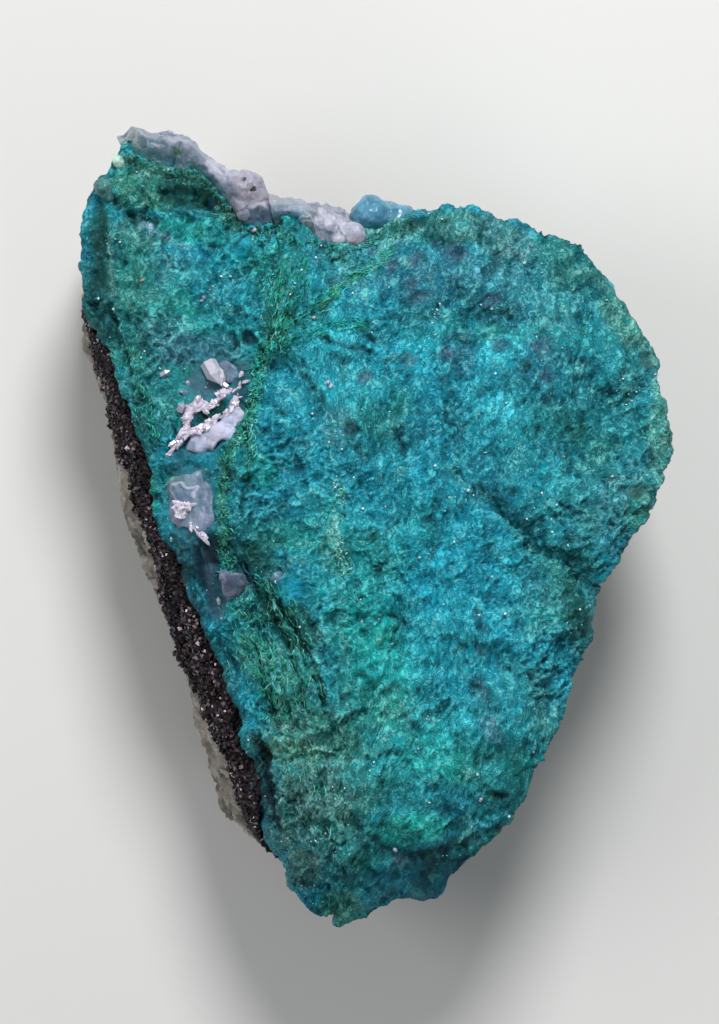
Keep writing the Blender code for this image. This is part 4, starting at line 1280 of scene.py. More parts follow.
# A ring whose outer face follows the side of the lump between two heights, closed behind by a back wall
def buildDarkCrust():
    left = radians(darkStretch[0] - 6), radians(darkStretch[1] + 6)
    angle = np.concatenate([np.linspace(*left, darkCrust["leftColumns"], endpoint=False),
                            np.linspace(left[1], left[0] + 2 * pi, darkCrust["otherColumns"],
                                        endpoint=False)])
    dark, rim = darkSide(angle), rimHeight(angle)
    foot = chrysocollaFoot(angle)
    upper = foot + darkCrust["thinAbove"] + (rim - darkCrust["under"] - foot - darkCrust["thinAbove"]) * dark
    lower = foot - darkCrust["thinBelow"]
    lower = lower + (greyLevel(angle, rim) - 0.6 - lower) * dark
    share = np.linspace(0, 1, darkCrust["rows"])[:, None]
    height = lower + (upper - lower) * share
    out = sideReach(angle, height, rim) + 0.12 - 0.5 * ease((share - 0.94) / 0.06)
    back = out[[-1, 0]] - darkCrust["backDepth"]
    rows = placeRound(angle, np.concatenate([out, back]), np.concatenate([height, height[[-1, 0]]]))
    rows = np.concatenate([rows, rows[:1]])  # the last row is the first again, and is merged with it below
    piece = makePiece("dark_crust", rows.reshape(-1, 3),
                      gridFaces(*rows.shape[:2], closeRound=True).tolist())
    tidyMesh(piece, merge=True)
    points, outward = readPiece(piece)
    first, second = grains(bend(points, 0.15, 0.6, 501), 0.55, 510)
    small, _ = grains(points, 0.3, 520)
    chunk, _ = flakes(bend(points, 0.5, 2.0, 502), 2.0, 530, 1.1)
    byGrain, bySmall, byChunk, bySwell = darkCrust["relief"]
    push = byGrain * ease((second - first) * 2.2) - 0.2 + bySmall * (0.5 - small) + byChunk * (chunk - 0.25)
    push += bySwell * layers(points, 4.0, 2, 540)
    movePiece(piece, points + outward * push[:, None])
    storeOn(piece, grain=np.clip((second - first) * 2.0, 0, 1))
    return piece


# Uneven cubes, tumbled, on random faces of the dark crust
def buildCrustGrains(crust):
    options, random = darkCrust, np.random.default_rng(840)
    surface, count = surfaceOf([crust]), options["grains"]
    angle, _ = polarOf(surface["middle"][:, 0], surface["middle"][:, 1])
    outside = (surface["outward"] * pointsOf(np.cos(angle), np.sin(angle), 0.8)).sum(1)
    at = pick(surface, count, ease(outside * 2) * (0.15 + darkSide(angle)), random)
    size = between(options["grainSize"], random.random(count) ** 2.2)[:, None]
    size = size * (0.7 + 0.6 * random.random((count, 3)))
    points, faces = joinCopies(grainCube, cubeFaces, surface["middle"][at] + 0.05 * surface["outward"][at],
                               tumble(count, random), size)
    tint = drawTints(options["grainColours"], count, random)
    tint = tint * between((0.7, 1.3), random.random(count))[:, None]
    piece = makePiece("crust_grains", points, faces, smooth=False)
    storeOn(piece, tint=np.repeat(tint, len(grainCube), axis=0))
    return piece


# The grey rock: rows round the side of the lump from the flat back up to the crust, capped at both ends
def buildHostRock():
    angle = np.linspace(0, 2 * pi, hostRock["columns"], endpoint=False)
    dark, rim = darkSide(angle), rimHeight(angle)
    top = chrysocollaFoot(angle) - 0.5
    top = top + (greyLevel(angle, rim) + 0.1 - top) * dark
    share = np.linspace(0, 1, hostRock["wallRows"])[:, None]
    footShare = np.linspace(0, 1, hostRock["footRows"], endpoint=False)[:, None]
    footHeight = lump["hostLevel"] * footShare + 0 * angle
    height = np.concatenate([footHeight, lump["hostLevel"] + (top - lump["hostLevel"]) * share])
    out = sideReach(angle, height, rim) + 0.1
    out[-2] -= 0.35
    out[-1] -= 1.4
    rows = placeRound(angle, out, height).reshape(-1, 3)
    count = len(height)
    faces, ends = tubeFaces(count, hostRock["columns"]), [(*lump["centre"], 0.0), (*lump["centre"], 9.0)]
    piece = makePiece("host_rock", np.concatenate([rows, ends]), faces)
    points, outward = readPiece(piece)
    block, _ = flakes(bend(points, 0.8, 3.0, 601), 3.4, 610, 1.1)
    chip, chipOwner = flakes(bend(points, 0.3, 1.0, 602), 1.2, 620, 1.0)
    first, second = grains(bend(points, 0.15, 0.6, 603), 0.7, 630)
    byBlock, byChip, bySwell, byGrain = hostRock["relief"]
    push = byBlock * (block - 0.3) + byChip * (chip - 0.2) + bySwell * layers(points, 3.0, 3, 640)
    push += byGrain * (ease((second - first) * 2.2) - 0.5)
    push *= ease(points[:, 2])  # the back stays flat
    movePiece(piece, points + outward * push[:, None])
    # the stored hollow value is low where the relief is pressed in; the material paints shade there
    storeOn(piece, speck=chipOwner, hollow=np.clip(0.5 + 0.6 * (block - 0.3) + 0.5 * (chip - 0.2), 0, 1))
    return piece


# Random shades from grain to grain, painted shade in the low places between grains, with a few blue-green
# patches
def darkCrustMaterial():
    material, tree, surface = newMaterial("granular_dark_crust")
    place, options = millimetres(tree), darkCrust
    grain = addNode(tree, "ShaderNodeTexVoronoi", {"Vector": place, "Scale": 2.6, "Randomness": 1.0})
    shade, sheen = [channel(tree, grain.outputs["Color"], number) for number in (0, 2)]
    paler = spread(tree, shade, 0.4, 1.0, 0.0, 0.9)
    base = mixColour(tree, paler, rgba(options["colour"]), rgba(options["paleColour"]))
    # painted shade: near black in the sunken places between grains
    gapShade = spread(tree, attribute(tree, "grain"), 0.6, 0.05, 0.0, 0.85)
    base = mixColour(tree, gapShade, base, (0.003, 0.002, 0.003, 1))
    patch = spread(tree, noiseNode(tree, place, 0.35, 3.0), 0.6, 0.72, 0.0, 0.5)
    base = mixColour(tree, patch, base, (0.004, 0.03, 0.04, 1))
    roughness = spread(tree, sheen, 0.0, 1.0, 0.25, 0.65)
    feed(tree, surface, {"Base Color": base, "Roughness": roughness,
                         "Specular IOR Level": options["specular"]})
    addBump(tree, surface, noiseNode(tree, place, 6.0, 3.0), 0.08)
    return material


# Grey, mottled by coarse and fine noise, pale on some chips, with painted shade in the low places of the
# relief
def hostRockMaterial():
    material, tree, surface = newMaterial("rough_grey_rock")
    place = millimetres(tree)
    coarse, fine = noiseNode(tree, place, 0.5, 5.0, 0.65), noiseNode(tree, place, 3.0, 4.0, 0.7)
    base, dim = rgba(hostRock["colour"]), rgba(hostRock["darkColour"])
    base = mixColour(tree, spread(tree, coarse, 0.38, 0.66), base, dim)
    base = mixColour(tree, spread(tree, fine, 0.45, 0.7, 0.0, 0.55), base, (0.32, 0.29, 0.26, 1))
    base = mixColour(tree, spread(tree, attribute(tree, "speck"), 0.72, 0.78, 0.0, 0.5), base,
                     (0.55, 0.54, 0.5, 1))
    # painted shade: darker where the relief is low
    base = multiplied(tree, base, spread(tree, attribute(tree, "hollow"), 0.1, 0.5, 0.3, 1.0))
    feed(tree, surface, {"Base Color": base, "Roughness": 0.88, "Specular IOR Level": 0.3})
    addBump(tree, surface, fine, 0.15)
    return material


# Pale chalcedony and blue bulbs

chalcedonyCrust = {
    "firstAngle": 88.0, "lastAngle": 120.8, "softFirst": 2.0, "softLast": 2.6,
    "columns": 400, "topRows": 34, "wallRows": 22,
    "bottom": 12.5, "bottomWander": 2.0, "rise": 0.35, "backDepth": 2.5, "colour": (78, 96, 114),
    "rollFrom": 0.72, "rollDrop": 0.8,  # past this share of the way across it rolls down to its free edge
    "endDrop": 0.9, "wallSwell": 0.5,
    # its edge on the break, from the peak to the notch
    "lowerEdge": ((-27.4, 38.9), (-25.8, 37.8), (-24.2, 37.2), (-22, 36.6), (-20.6, 35.9), (-19, 35.8),
                  (-17.6, 35.4), (-16.7, 34.7), (-15.7, 33.5), (-14.6, 32.2), (-13.8, 30.6),
                  (-11.7, 29.6), (-10.2, 30.1), (-9.4, 31), (-7.8, 31.2), (-6.6, 29.4), (-5.3, 28),
                  (-3.6, 27.9), (-1.6, 28.8), (-0.7, 29.7)),
    # its free edge
    "upperEdge": ((-24.6, 40.8), (-23.6, 40.3), (-22.4, 39.9), (-21.2, 40), (-20.1, 39.8), (-19, 39.3),
                  (-18.2, 38.9), (-17.5, 38.1), (-16.6, 37.3), (-15.6, 36.4), (-14.8, 35.9),
                  (-13.3, 35.6), (-12, 34.7), (-11, 33.6), (-10.6, 32.9), (-9.1, 32.8), (-8, 32.7),
                  (-5.9, 32.5), (-4.9, 31.4), (-3.6, 30.8), (-2.4, 30.6), (-1.3, 30.2), (-0.7, 29.8)),
    # where it swells: x, y, radius, height
    "domes": ((-16.2, 35.8, 1.2, 0.35), (-14.8, 34.2, 1.6, 0.3), (-8.6, 31.6, 1.5, 0.35),
              (-20.2, 38.6, 1.9, 0.4), (-17.9, 37.2, 1.6, 0.4), (-22.6, 39, 1.9, 0.35),
              (-10.2, 31.8, 1.5, 0.45), (-12.9, 31.2, 1.3, 0.3)),
    "bumpSize": 2.3, "bumps": 0.4, "footTint": "lagoon", "tuck": 2.4,
}
chalcedonyMarks = {"gloss": 1.0}
chalcedonyMarks["spots"] = (
    (-23.4, 38.2, 2.4, 2, -20, "drab", 0.85, 1), (-25.8, 38.4, 1.5, 0.9, -20, "sage", 0.7, 0.6),
    (-22, 39.2, 1.4, 0.7, -10, "slate", 0.6, 1), (-18.4, 37.2, 2.6, 1.4, -30, "steel", 0.4, 1),
    (-24.4, 39.9, 0.4, 0.7, -30, "sand", 0.4, 0.7), (-14.8, 33.4, 1.2, 1.6, 25, "milk", 0.6, 1),
    (-12.6, 33.8, 2.1, 2, 0, "blush", 0.35, 1), (-15.8, 36, 1.6, 0.8, -50, "cloud", 0.5, 1),
    (-20, 38.9, 1.5, 0.6, -25, "lilac", 0.6, 1), (-4.6, 30.6, 1.5, 0.8, -15, "cloud", 0.5, 1),
    # the second spot on the next line, at (-14.4, 35.6), is a painted highlight on the pale knob
    (-12.4, 32.5, 1.2, 0.5, 10, "cloud", 0.6, 1), (-14.4, 35.6, 0.8, 0.4, -10, "cloud", 0.6, 1),
    (-10.4, 31.2, 2.4, 1.4, 0, "steel", 0.5, 1), (-11.7, 30, 0.9, 0.8, 0, "teal", 0.75, 1),
    (-18.8, 36.3, 0.7, 0.4, 20, "teal", 0.5, 1), (-12.6, 31.2, 1, 0.6, 0, "milk", 0.5, 1),
    (-8.2, 31.8, 1.6, 0.5, -5, "milk", 0.6, 1), (-5.2, 28.8, 0.8, 1, 20, "rose", 0.3, 1),
    (-2.3, 28.9, 0.8, 0.6, 0, "rose", 0.3, 1), (-13, 35.05, 0.22, 0.22, 0, "ink", 0.95, 0.6, -0.1),
    (-12.2, 33.95, 0.26, 0.34, -15, "ink", 0.95, 0.6, -0.12),
    (-12.55, 31.1, 0.2, 0.16, 0, "night", 0.8, 0.8), (-10, 31, 0.2, 0.16, 0, "night", 0.8, 0.8),
    (-8.9, 30.7, 0.9, 0.8, 0, "moss", 0.95, 0.1, 0.05), (-10.5, 30.1, 0.4, 0.5, 0, "moss", 0.9, 0.1),
    (-7, 31.1, 0.55, 0.42, 15, "lilac", 0.8, 1), (-7, 31.1, 0.38, 0.26, 15, "moss", 0.95, 0.3, -0.1),
    (-6.5, 30, 0.75, 1, 10, "lilac", 0.8, 1), (-6.5, 30, 0.56, 0.82, 10, "fir", 0.9, 0.3, -0.15),
    (-4.95, 28.6, 0.18, 0.18, 0, "moss", 0.95, 0.5), (-3.1, 28.4, 0.24, 0.22, 0, "fir", 0.95, 0.5),
)
chalcedonyMarks["lines"] = (
    ("cloud", 0.7, 0.2, 0, 1, ((-14.3, 33.2), (-13, 32.1), (-11.2, 32.5))),
    ("cloud", 0.35, 0.1, 0, 1, ((-22.5, 38.8), (-21.8, 38.5), (-21.2, 38.5))),
    ("fir", 0.95, 0.22, 0.08, 0.2, ((-20.7, 36), (-20.3, 37), (-19.95, 37.8))),
    ("fir", 0.95, 0.18, 0.08, 0.2, ((-20, 37.5), (-20.4, 38.2))),
    ("moss", 0.95, 0.2, 0.08, 0.2, ((-19.95, 37.7), (-19.65, 38.7))),
    ("moss", 0.95, 0.15, 0.08, 0.2, ((-19.95, 37.5), (-19.3, 38))),
    ("moss", 0.9, 0.15, 0.05, 0.2, ((-22.5, 37.6), (-22.4, 37.1))),
    ("moss", 0.9, 0.15, 0.05, 0.2, ((-22.2, 36.9), (-22, 36.3))),
    ("moss", 0.9, 0.15, 0.05, 0.2, ((-18.9, 36.7), (-18.3, 36.6), (-18.1, 35.8))),
    ("moss", 0.9, 0.18, 0.05, 0.2, ((-17.3, 35.6), (-16.9, 34.8))),
    ("umber", 0.5, 0.14, 0, 0.5, ((-24.7, 39.3), (-24.2, 39.7))),
    ("steel", 0.6, 0.13, 0, 1, ((-3.5, 30.2), (-4.4, 29.2), (-5.3, 28.2))),
    ("steel", 0.5, 0.12, 0, 1, ((-3.5, 30), (-3.2, 29.3), (-2.9, 28.5))),
)
bulbs = {
    # name: balls as x, y, z and radius; the place that all can be seen from; colour
    "blue_bulbs": {
        "balls": ((-0.4, 31.6, 17.9, 2), (2.7, 30.9, 17.5, 1.75), (-1.6, 30.9, 16.8, 1.2),
                  (1.3, 30.8, 16.6, 2), (4.4, 30.5, 16.2, 1.3), (1.2, 31, 14.6, 2.2)),
        "middle": (1.0, 31.0, 16.5), "colour": (74, 130, 154),
    },
    "pale_knob": {
        "balls": ((-13, 34.75, 21, 1.25), (-12.2, 34.1, 20.9, 1.25), (-12.1, 33.1, 20.8, 1.2),
                  (-13.4, 33.7, 21.2, 1.4), (-14.4, 34.9, 20.9, 1), (-13.2, 32.6, 21, 1.1),
                  (-13, 31.6, 21, 0.9), (-13.2, 34, 19.4, 1.7)),
        "middle": (-12.9, 33.8, 20.7), "colour": (174, 174, 190),
    },
    "pale_lobes": {
        "balls": ((-2.2, 29.4, 21, 1.3), (-3.1, 29, 21.1, 1.2), (-4, 28.7, 21.3, 1.1),
                  (-4.9, 30.3, 21.3, 1.2), (-5.2, 28.9, 21.4, 1), (-3.6, 29.6, 21, 1.3),
                  (-5.6, 31.3, 21, 0.9), (-4, 29.8, 19.8, 1.7)),
        "middle": (-3.9, 29.7, 20.9), "colour": (186, 186, 200),
    },
    "glassy_bead": {
        "balls": ((-27.4, 34.4, 18.4, 1), (-27, 33.7, 18.3, 0.75)), "middle": (-27.3, 34.2, 18.3),
        "colour": (66, 116, 114),
    },
    "small_bead": {
        "balls": ((-26, 37.1, 18, 0.55), (-25.9, 36.8, 17.9, 0.5)), "middle": (-26.0, 37.0, 17.9),
        "colour": (168, 206, 188),
    },
}
bulbGrid = {"rows": 80, "columns": 120, "merge": 7, "wobble": (1.4, 0.2)}


# Heights of swellings, blended where they meet: the fourth root of the sum of their fourth powers
def swellAt(x, y, domes):
    total = np.zeros_like(x)
    for centreX, centreY, radius, height in domes:
        away = ((x - centreX) ** 2 + (y - centreY) ** 2) / radius**2
        total += (height * np.clip(1 - away, 0, None) ** 0.7) ** 4
    return total**0.25


# A cover: across each angle it starts sunk in the break, swells over the rim and runs down the wall,
# with a back wall behind it. Round bumps, from spheres on random points, stand on its free side
def buildChalcedonyCrust():
    options = chalcedonyCrust
    degree = np.linspace(options["firstAngle"], options["lastAngle"], options["columns"])
    angle = np.radians(degree)
    ends = ease((degree - options["firstAngle"]) / options["softFirst"])
    ends *= ease((options["lastAngle"] - degree) / options["softLast"])
    inner, outer = [reachOf(np.array(options[edge]), angle) for edge in ("lowerEdge", "upperEdge")]
    inner = np.minimum(inner, outer - 0.4) - 0.25
    rim = rimHeight(angle)
    share = np.linspace(0, 1, options["topRows"])[:, None]
    across = inner + (outer - inner) * share
    flat = placeRound(angle, across, 0)
    level, start = breakHeight(flat[..., 0], flat[..., 1]), np.clip(share * 8, 0, 1)
    domes = swellAt(flat[..., 0], flat[..., 1], options["domes"])
    swell = options["rise"] * ease(share * 1.6) + domes * ease(share * 2)
    roll = ease((share - options["rollFrom"]) / (1 - options["rollFrom"])) ** 2
    topHeight = level + swell * ends - options["rollDrop"] * roll
    topHeight = topHeight - 0.3 * (1 - start) - options["endDrop"] * (1 - ends)
    down = np.linspace(0, 1, options["wallRows"] + 1)[1:, None]
    edgeHeight = topHeight[-1]
    wander = pointsOf(np.cos(angle) * 36, np.sin(angle) * 36, 0)
    bottom = options["bottom"] + options["bottomWander"] * layers(wander, 4.0, 3, 700)
    wallHeight = edgeHeight + (bottom - edgeHeight) * down
    smooth = np.convolve(np.pad(outer, 50, mode="edge"), np.full(101, 1 / 101), "valid")
    wallOut = outer + (smooth - outer) * ease(down * 2)
    wallOut = wallOut + sideReach(angle, wallHeight, rim) - sideReach(angle, edgeHeight, rim)
    wallOut = wallOut + options["wallSwell"] * np.sin(pi * down) * ends
    wallOut = wallOut - options["endDrop"] * (1 - ends) * ease(down * 6)
    wallOut = wallOut - options["tuck"] * ease((down - 0.45) / 0.55)
    back = wallOut[-1] - options["backDepth"]
    out = np.concatenate([across, wallOut, [back, np.minimum(inner, back)]])
    height = np.concatenate([topHeight, wallHeight, wallHeight[-1:], topHeight[:1] - 1.6])
    rows = placeRound(angle, out, height)[::-1].transpose(1, 0, 2)
    piece = makePiece("chalcedony_crust", np.concatenate([rows.reshape(-1, 3), rows[[0, -1]].mean(1)]),
                      tubeFaces(*rows.shape[:2]))
    points, outward = readPiece(piece)
    pointAngle, reach = polarOf(points[:, 0], points[:, 1])
    free = ease((reach - reachOf(breakOutline, pointAngle) + 1.0) / 0.9)
    free = np.maximum(free, ease((rimHeight(pointAngle) - points[:, 2] - 0.9) / 0.8))
    big, _ = grains(bend(points, 0.3, 2.0, 701), options["bumpSize"], 710)
    small, _ = grains(bend(points, 0.15, 1.0, 702), options["bumpSize"] / 2, 720)
    bumps = np.sqrt(np.clip(0.62 - big**2, 0, None)) - 0.6
    bumps = bumps + 0.3 * np.sqrt(np.clip(0.5 - small**2, 0, None))
    inEdge, outEdge = [reachOf(np.array(options[edge]), pointAngle) for edge in ("lowerEdge", "upperEdge")]
    ragged = layers(points, 1.4, 3, 740)
    foot = 0.85 * ease(1.15 - (reach - inEdge + 1.1 * ragged) / 2.2)
    # painted light: the crust turns lighter lilac towards its free edge, where light shows through the thin
    # rim
    rimGlow = 0.35 * ease(1 - (outEdge - reach + 0.6 * ragged) / 1.4)
    colour = linear(options["colour"]) * (0.85 + 0.5 * ease(ragged + 0.4))[:, None]
    colour = towards(towards(colour, tone("lilac"), rimGlow), tone(options["footTint"]), foot)
    colour, gloss, lift = paintOver(points, colour, chalcedonyMarks)
    hidden = ease((rimHeight(pointAngle) - points[:, 2] - 1.5) / 2)
    push = free * (0.4 + options["bumps"] * hidden) * bumps + lift * (1 - free)
    push = push + 0.14 * layers(points, 1.3, 3, 730)
    movePiece(piece, points + outward * push[:, None])
    storeOn(piece, tint=colour, gloss=np.clip(gloss, 0, 1))
    return piece


# Where rays from the middle leave each ball, blended by a high power, give one body of merged bulbs
def buildBulbs(name):
    balls, middle, colour = bulbs[name]["balls"], np.array(bulbs[name]["middle"]), bulbs[name]["colour"]
    fine = min(1.0, 0.35 + 0.13 * len(balls))
    rows, columns = int(bulbGrid["rows"] * fine), int(bulbGrid["columns"] * fine)
    tilt = np.linspace(-pi / 2, pi / 2, rows + 2)[1:-1, None]
    turn = np.linspace(0, 2 * pi, columns, endpoint=False)
    grid = pointsOf(np.cos(tilt) * np.cos(turn), np.cos(tilt) * np.sin(turn), np.sin(tilt))
    ray = np.concatenate([grid.reshape(-1, 3), [(0, 0, -1), (0, 0, 1)]])
    total = np.zeros(len(ray))
    for x, y, z, radius in balls:
        offset = np.array((x, y, z)) - middle
        along = ray @ offset
        inside = radius**2 - offset @ offset + along**2
        met = np.clip(along + np.sqrt(np.clip(inside, 0, None)), 0, None)
        total += met ** bulbGrid["merge"] * (inside > 0)
    points = middle + ray * (total ** (1 / bulbGrid["merge"]))[:, None]
    size, height = bulbGrid["wobble"]
    points += ray * (height * layers(points, size, 3, 750))[:, None]
    piece = makePiece(name, points, tubeFaces(rows, columns))
    painted, gloss, lift = paintOver(points, np.tile(linear(colour), (len(points), 1)), chalcedonyMarks)
    movePiece(piece, points + ray * lift[:, None])
    storeOn(piece, tint=painted, gloss=np.clip(gloss, 0, 1))
    return piece


chalcedony = {
    # noise and where it is cut, with the shade it brings; how light goes in; sheen at gloss 0 and 1
    "milky": {
        "clouds": (((0.4, 3.0, 0.6, 0.4), (0.4, 0.66, 0.0, 0.7), (0.5, 0.6, 0.68, 1)),
                   ((1.5, 4.0, 0.6, 0.8), (0.54, 0.72, 0.0, 0.6), (1.5, 1.45, 1.4, 1))),
        "subsurface": 0.8, "clearFrom": (0.3, 0.9), "radius": (1.1, 1.0, 1.2), "scale": 1.2,
        "roughness": (0.5, 0.27), "specular": 0.4,
        "bumpNoise": (1.6, 4.0, 0.65), "bumpMix": (1.6, 1.0), "bump": (0.12, 0.8),
    },
    "glossy": {  # the same all over
        "clouds": (((0.9, 3.0, 0.5, 0.3), (0.42, 0.66, 0.0, 0.8), (0.3, 0.5, 0.55, 1)),
                   ((0.7, 2.0, 0.5, 0.8), (0.48, 0.7, 0.0, 0.7), (1.7, 1.2, 1.15, 1))),
        "subsurface": 0.75, "clearFrom": None, "radius": (0.6, 1.0, 1.2), "scale": 0.7,
        "roughness": 0.26, "specular": 0.5,
        "bumpNoise": (2.2, 2.0, 0.55), "bumpMix": (1.0, 0.0), "bump": (0.05, 0.4),
    },
    "ior": 1.42,
}


# Translucent, clouded by darker and lighter shades of its tint. A finish with a "clearFrom" lets more
# light in where the stored gloss is higher
def chalcedonyMaterial(name, finish, transmission):
    material, tree, surface = newMaterial(name)
    place, options, tint = millimetres(tree), chalcedony[finish], attribute(tree, "tint", "Color")
    base, sheen = tint, options["roughness"]
    clear = {"Subsurface Weight": options["subsurface"], "Transmission Weight": transmission}
    if options["clearFrom"]:
        gloss = attribute(tree, "gloss")
        sheen = spread(tree, gloss, 0.0, 1.0, *sheen)
        for socket, most in clear.items():
            clear[socket] = spread(tree, gloss, *options["clearFrom"], 0.0, most)
    for noiseRow, cutAt, shade in options["clouds"]:
        veil = noiseNode(tree, place, *noiseRow)
        base = mixColour(tree, spread(tree, veil, *cutAt), base, multiplied(tree, tint, shade))
    feed(tree, surface, {
        "Base Color": base, "Roughness": sheen, **clear, "Subsurface Radius": options["radius"],
        "Subsurface Scale": options["scale"] * mm,
        "Specular IOR Level": options["specular"], "IOR": chalcedony["ior"],
    })
    fine = times(tree, noiseNode(tree, place, *options["bumpNoise"]), options["bumpMix"][0])
    addBump(tree, surface, mathNode(tree, "MULTIPLY_ADD", veil, options["bumpMix"][1], fine),
            *options["bump"])
    return material


# Agate bodies and quartz of the left-hand facet

agate = {
    "stations": 64, "across": 34, "sink": 1.2, "edgeDrop": 0.35, "edgeShare": 2.0, "ragged": 0.6,
    "facet": 0.4, "wobble": 0.08,
}
# chain of one edge, chain of the other, rise, colour
agate["bodies"] = (
    (((-19.2, 7.9), (-19, 9.4), (-17.4, 9.9), (-15.6, 11), (-13.6, 12.9)), ((-18.6, 7.6), (-17.2, 7.5),
     (-15.9, 7.7), (-14.1, 9.3), (-12.6, 11.7)), 0.2, "veil"),
    (((-19.3, 5.7), (-21.3, 4.4), (-21.2, 1.8), (-20.2, 0.2), (-18.8, -0.4)), ((-17.6, 5.7), (-15.8, 3.6),
     (-15.6, 1.6), (-16.2, 0), (-17.2, -0.9)), 0.16, "milk"),
    (((-15.8, -5), (-15.2, -4), (-13.8, -4)), ((-14.6, -7.8), (-13.4, -7.2), (-12.3, -5.4)), 0.2, "steel"),
    (((-16.3, 16.6), (-15.7, 15.2), (-14.9, 14.2)), ((-14.8, 17.2), (-13.5, 16), (-13.1, 14.9)), 0.2,
     "milk"),
)
agateMarks = {"gloss": 1.0}
agateMarks["spots"] = (
    (-16.4, 11.5, 1.7, 0.8, 35, "fir", 0.9, 0.8), (-17, 14, 1.6, 1.4, 0, "slate", 0.6, 1),
    (-17.4, 8.6, 1.4, 0.8, 15, "veil", 0.6, 1), (-13.3, 14.6, 0.7, 2.2, -10, "teal", 0.6, 1),
    (-14.2, 11.2, 1.3, 1.1, 20, "lilac", 0.5, 1, 0.1), (-16, 8.9, 0.9, 1.2, -20, "rose", 0.4, 1),
    (-18.4, 8.2, 0.6, 0.5, 0, "slate", 0.5, 1), (-16.9, 3.6, 1, 2.4, 0, "slate", 0.75, 1),
    (-19.6, 4.9, 1.2, 0.6, 0, "lichen", 0.6, 1), (-20.2, 1.6, 0.8, 1.2, 20, "lilac", 0.5, 1),
    (-17.6, 0.6, 1.1, 1, 0, "lilac", 0.35, 1), (-16.3, -1.4, 1, 1.3, 0, "glass", 0.7, 1),
    (-15, 16.3, 0.8, 0.6, -20, "steel", 0.6, 1), (-13.7, -5.2, 1, 0.5, 0, "steel", 0.7, 1),
    (-14.6, -7, 0.6, 0.6, 0, "lilac", 0.5, 1), (-20.6, 12.2, 0.8, 1.4, 0, "lichen", 0.5, 1),
)
agateMarks["lines"] = (
    ("cloud", 0.75, 0.16, 0.05, 1, ((-17.1, 9.4), (-16.5, 8.9), (-16.1, 7.7))),
    ("cloud", 0.5, 0.14, 0, 1, ((-18.3, 9), (-17.3, 9.3), (-16.6, 9))),
    ("rose", 0.8, 0.26, 0.08, 1, ((-21.2, 2.6), (-20.9, 1.2), (-19.9, -0.1), (-18.7, -0.3))),
    ("cloud", 0.6, 0.16, 0.15, 1, ((-20.2, 4.4), (-19, 4.2), (-17.7, 4.1), (-18.3, 3.1))),
    ("cloud", 0.5, 0.16, 0.12, 1, ((-20.4, 4.3), (-20.3, 3.4), (-19.8, 2.6))),
    ("pale", 0.7, 0.2, 0.05, 1, ((-21.2, 3.2), (-21.3, 4.4), (-20.4, 5.1))),
    ("lilac", 0.6, 0.14, 0, 1, ((-16.9, 4.6), (-16.9, 2.4), (-17.3, 1))),
    ("lilac", 0.6, 0.16, 0.05, 1, ((-16.2, -4.6), (-15.6, -4.4), (-15.2, -5.2), (-15.3, -6.8),
     (-14.4, -7.7))),
    ("olive", 0.9, 0.16, 0.05, 0.5, ((-18.4, -0.8), (-17.6, -3.6), (-17.2, -6.6), (-16.2, -9.2))),
)
quartz = {
    "ridgeTint": (222, 214, 232), "around": 9, "spacing": 0.26, "radiusShare": 0.85,
    "jitter": 0.13, "facet": 0.8, "facetPush": 0.4,
    "ridgeCrystals": 360, "crystalLength": (0.25, 0.95), "crystalWidth": (0.35, 0.7),
    "shoulder": 0.6,  # where along a crystal its point starts
    "crystalTurn": 0.45, "crystalLift": (0.1, 0.45),  # how far crystals stray from their ridge's heading
    "sink": 0.2, "singleSink": 0.4,
    "ior": 1.54,
}
# chain and radius along it
quartz["ridges"] = (
    (((-21, 7.1), (-20, 8.4), (-19.2, 9.3), (-18.9, 10.2), (-18.8, 10.9)), (0.25, 0.5, 0.48, 0.32, 0.4)),
    (((-18.9, 10.7), (-18.3, 11.8), (-17.6, 12.7)), (0.4, 0.62, 0.45)),
    (((-17.7, 12.6), (-17, 12), (-16.1, 12.5), (-15.6, 13.2)), (0.35, 0.32, 0.26, 0.2)),
    (((-15.9, 13.8), (-15.2, 13.3), (-14.5, 13.9)), (0.25, 0.36, 0.28)),
    (((-13.5, 14.1), (-13.9, 13.1), (-14.2, 12.2), (-14.8, 11.5), (-15.3, 11.2)),
     (0.32, 0.55, 0.42, 0.36, 0.2)),
    (((-15.2, 11.2), (-16, 10.9), (-16.9, 10.3), (-17.6, 9.9), (-18.9, 9.5)), (0.22, 0.2, 0.22, 0.3, 0.24)),
    (((-18.5, 0.5), (-17.6, -0.5), (-16.8, -1.4)), (0.2, 0.34, 0.14)),
    (((-20.1, 2.2), (-19.2, 1.7), (-18.4, 2)), (0.75, 1.1, 0.75)),
)
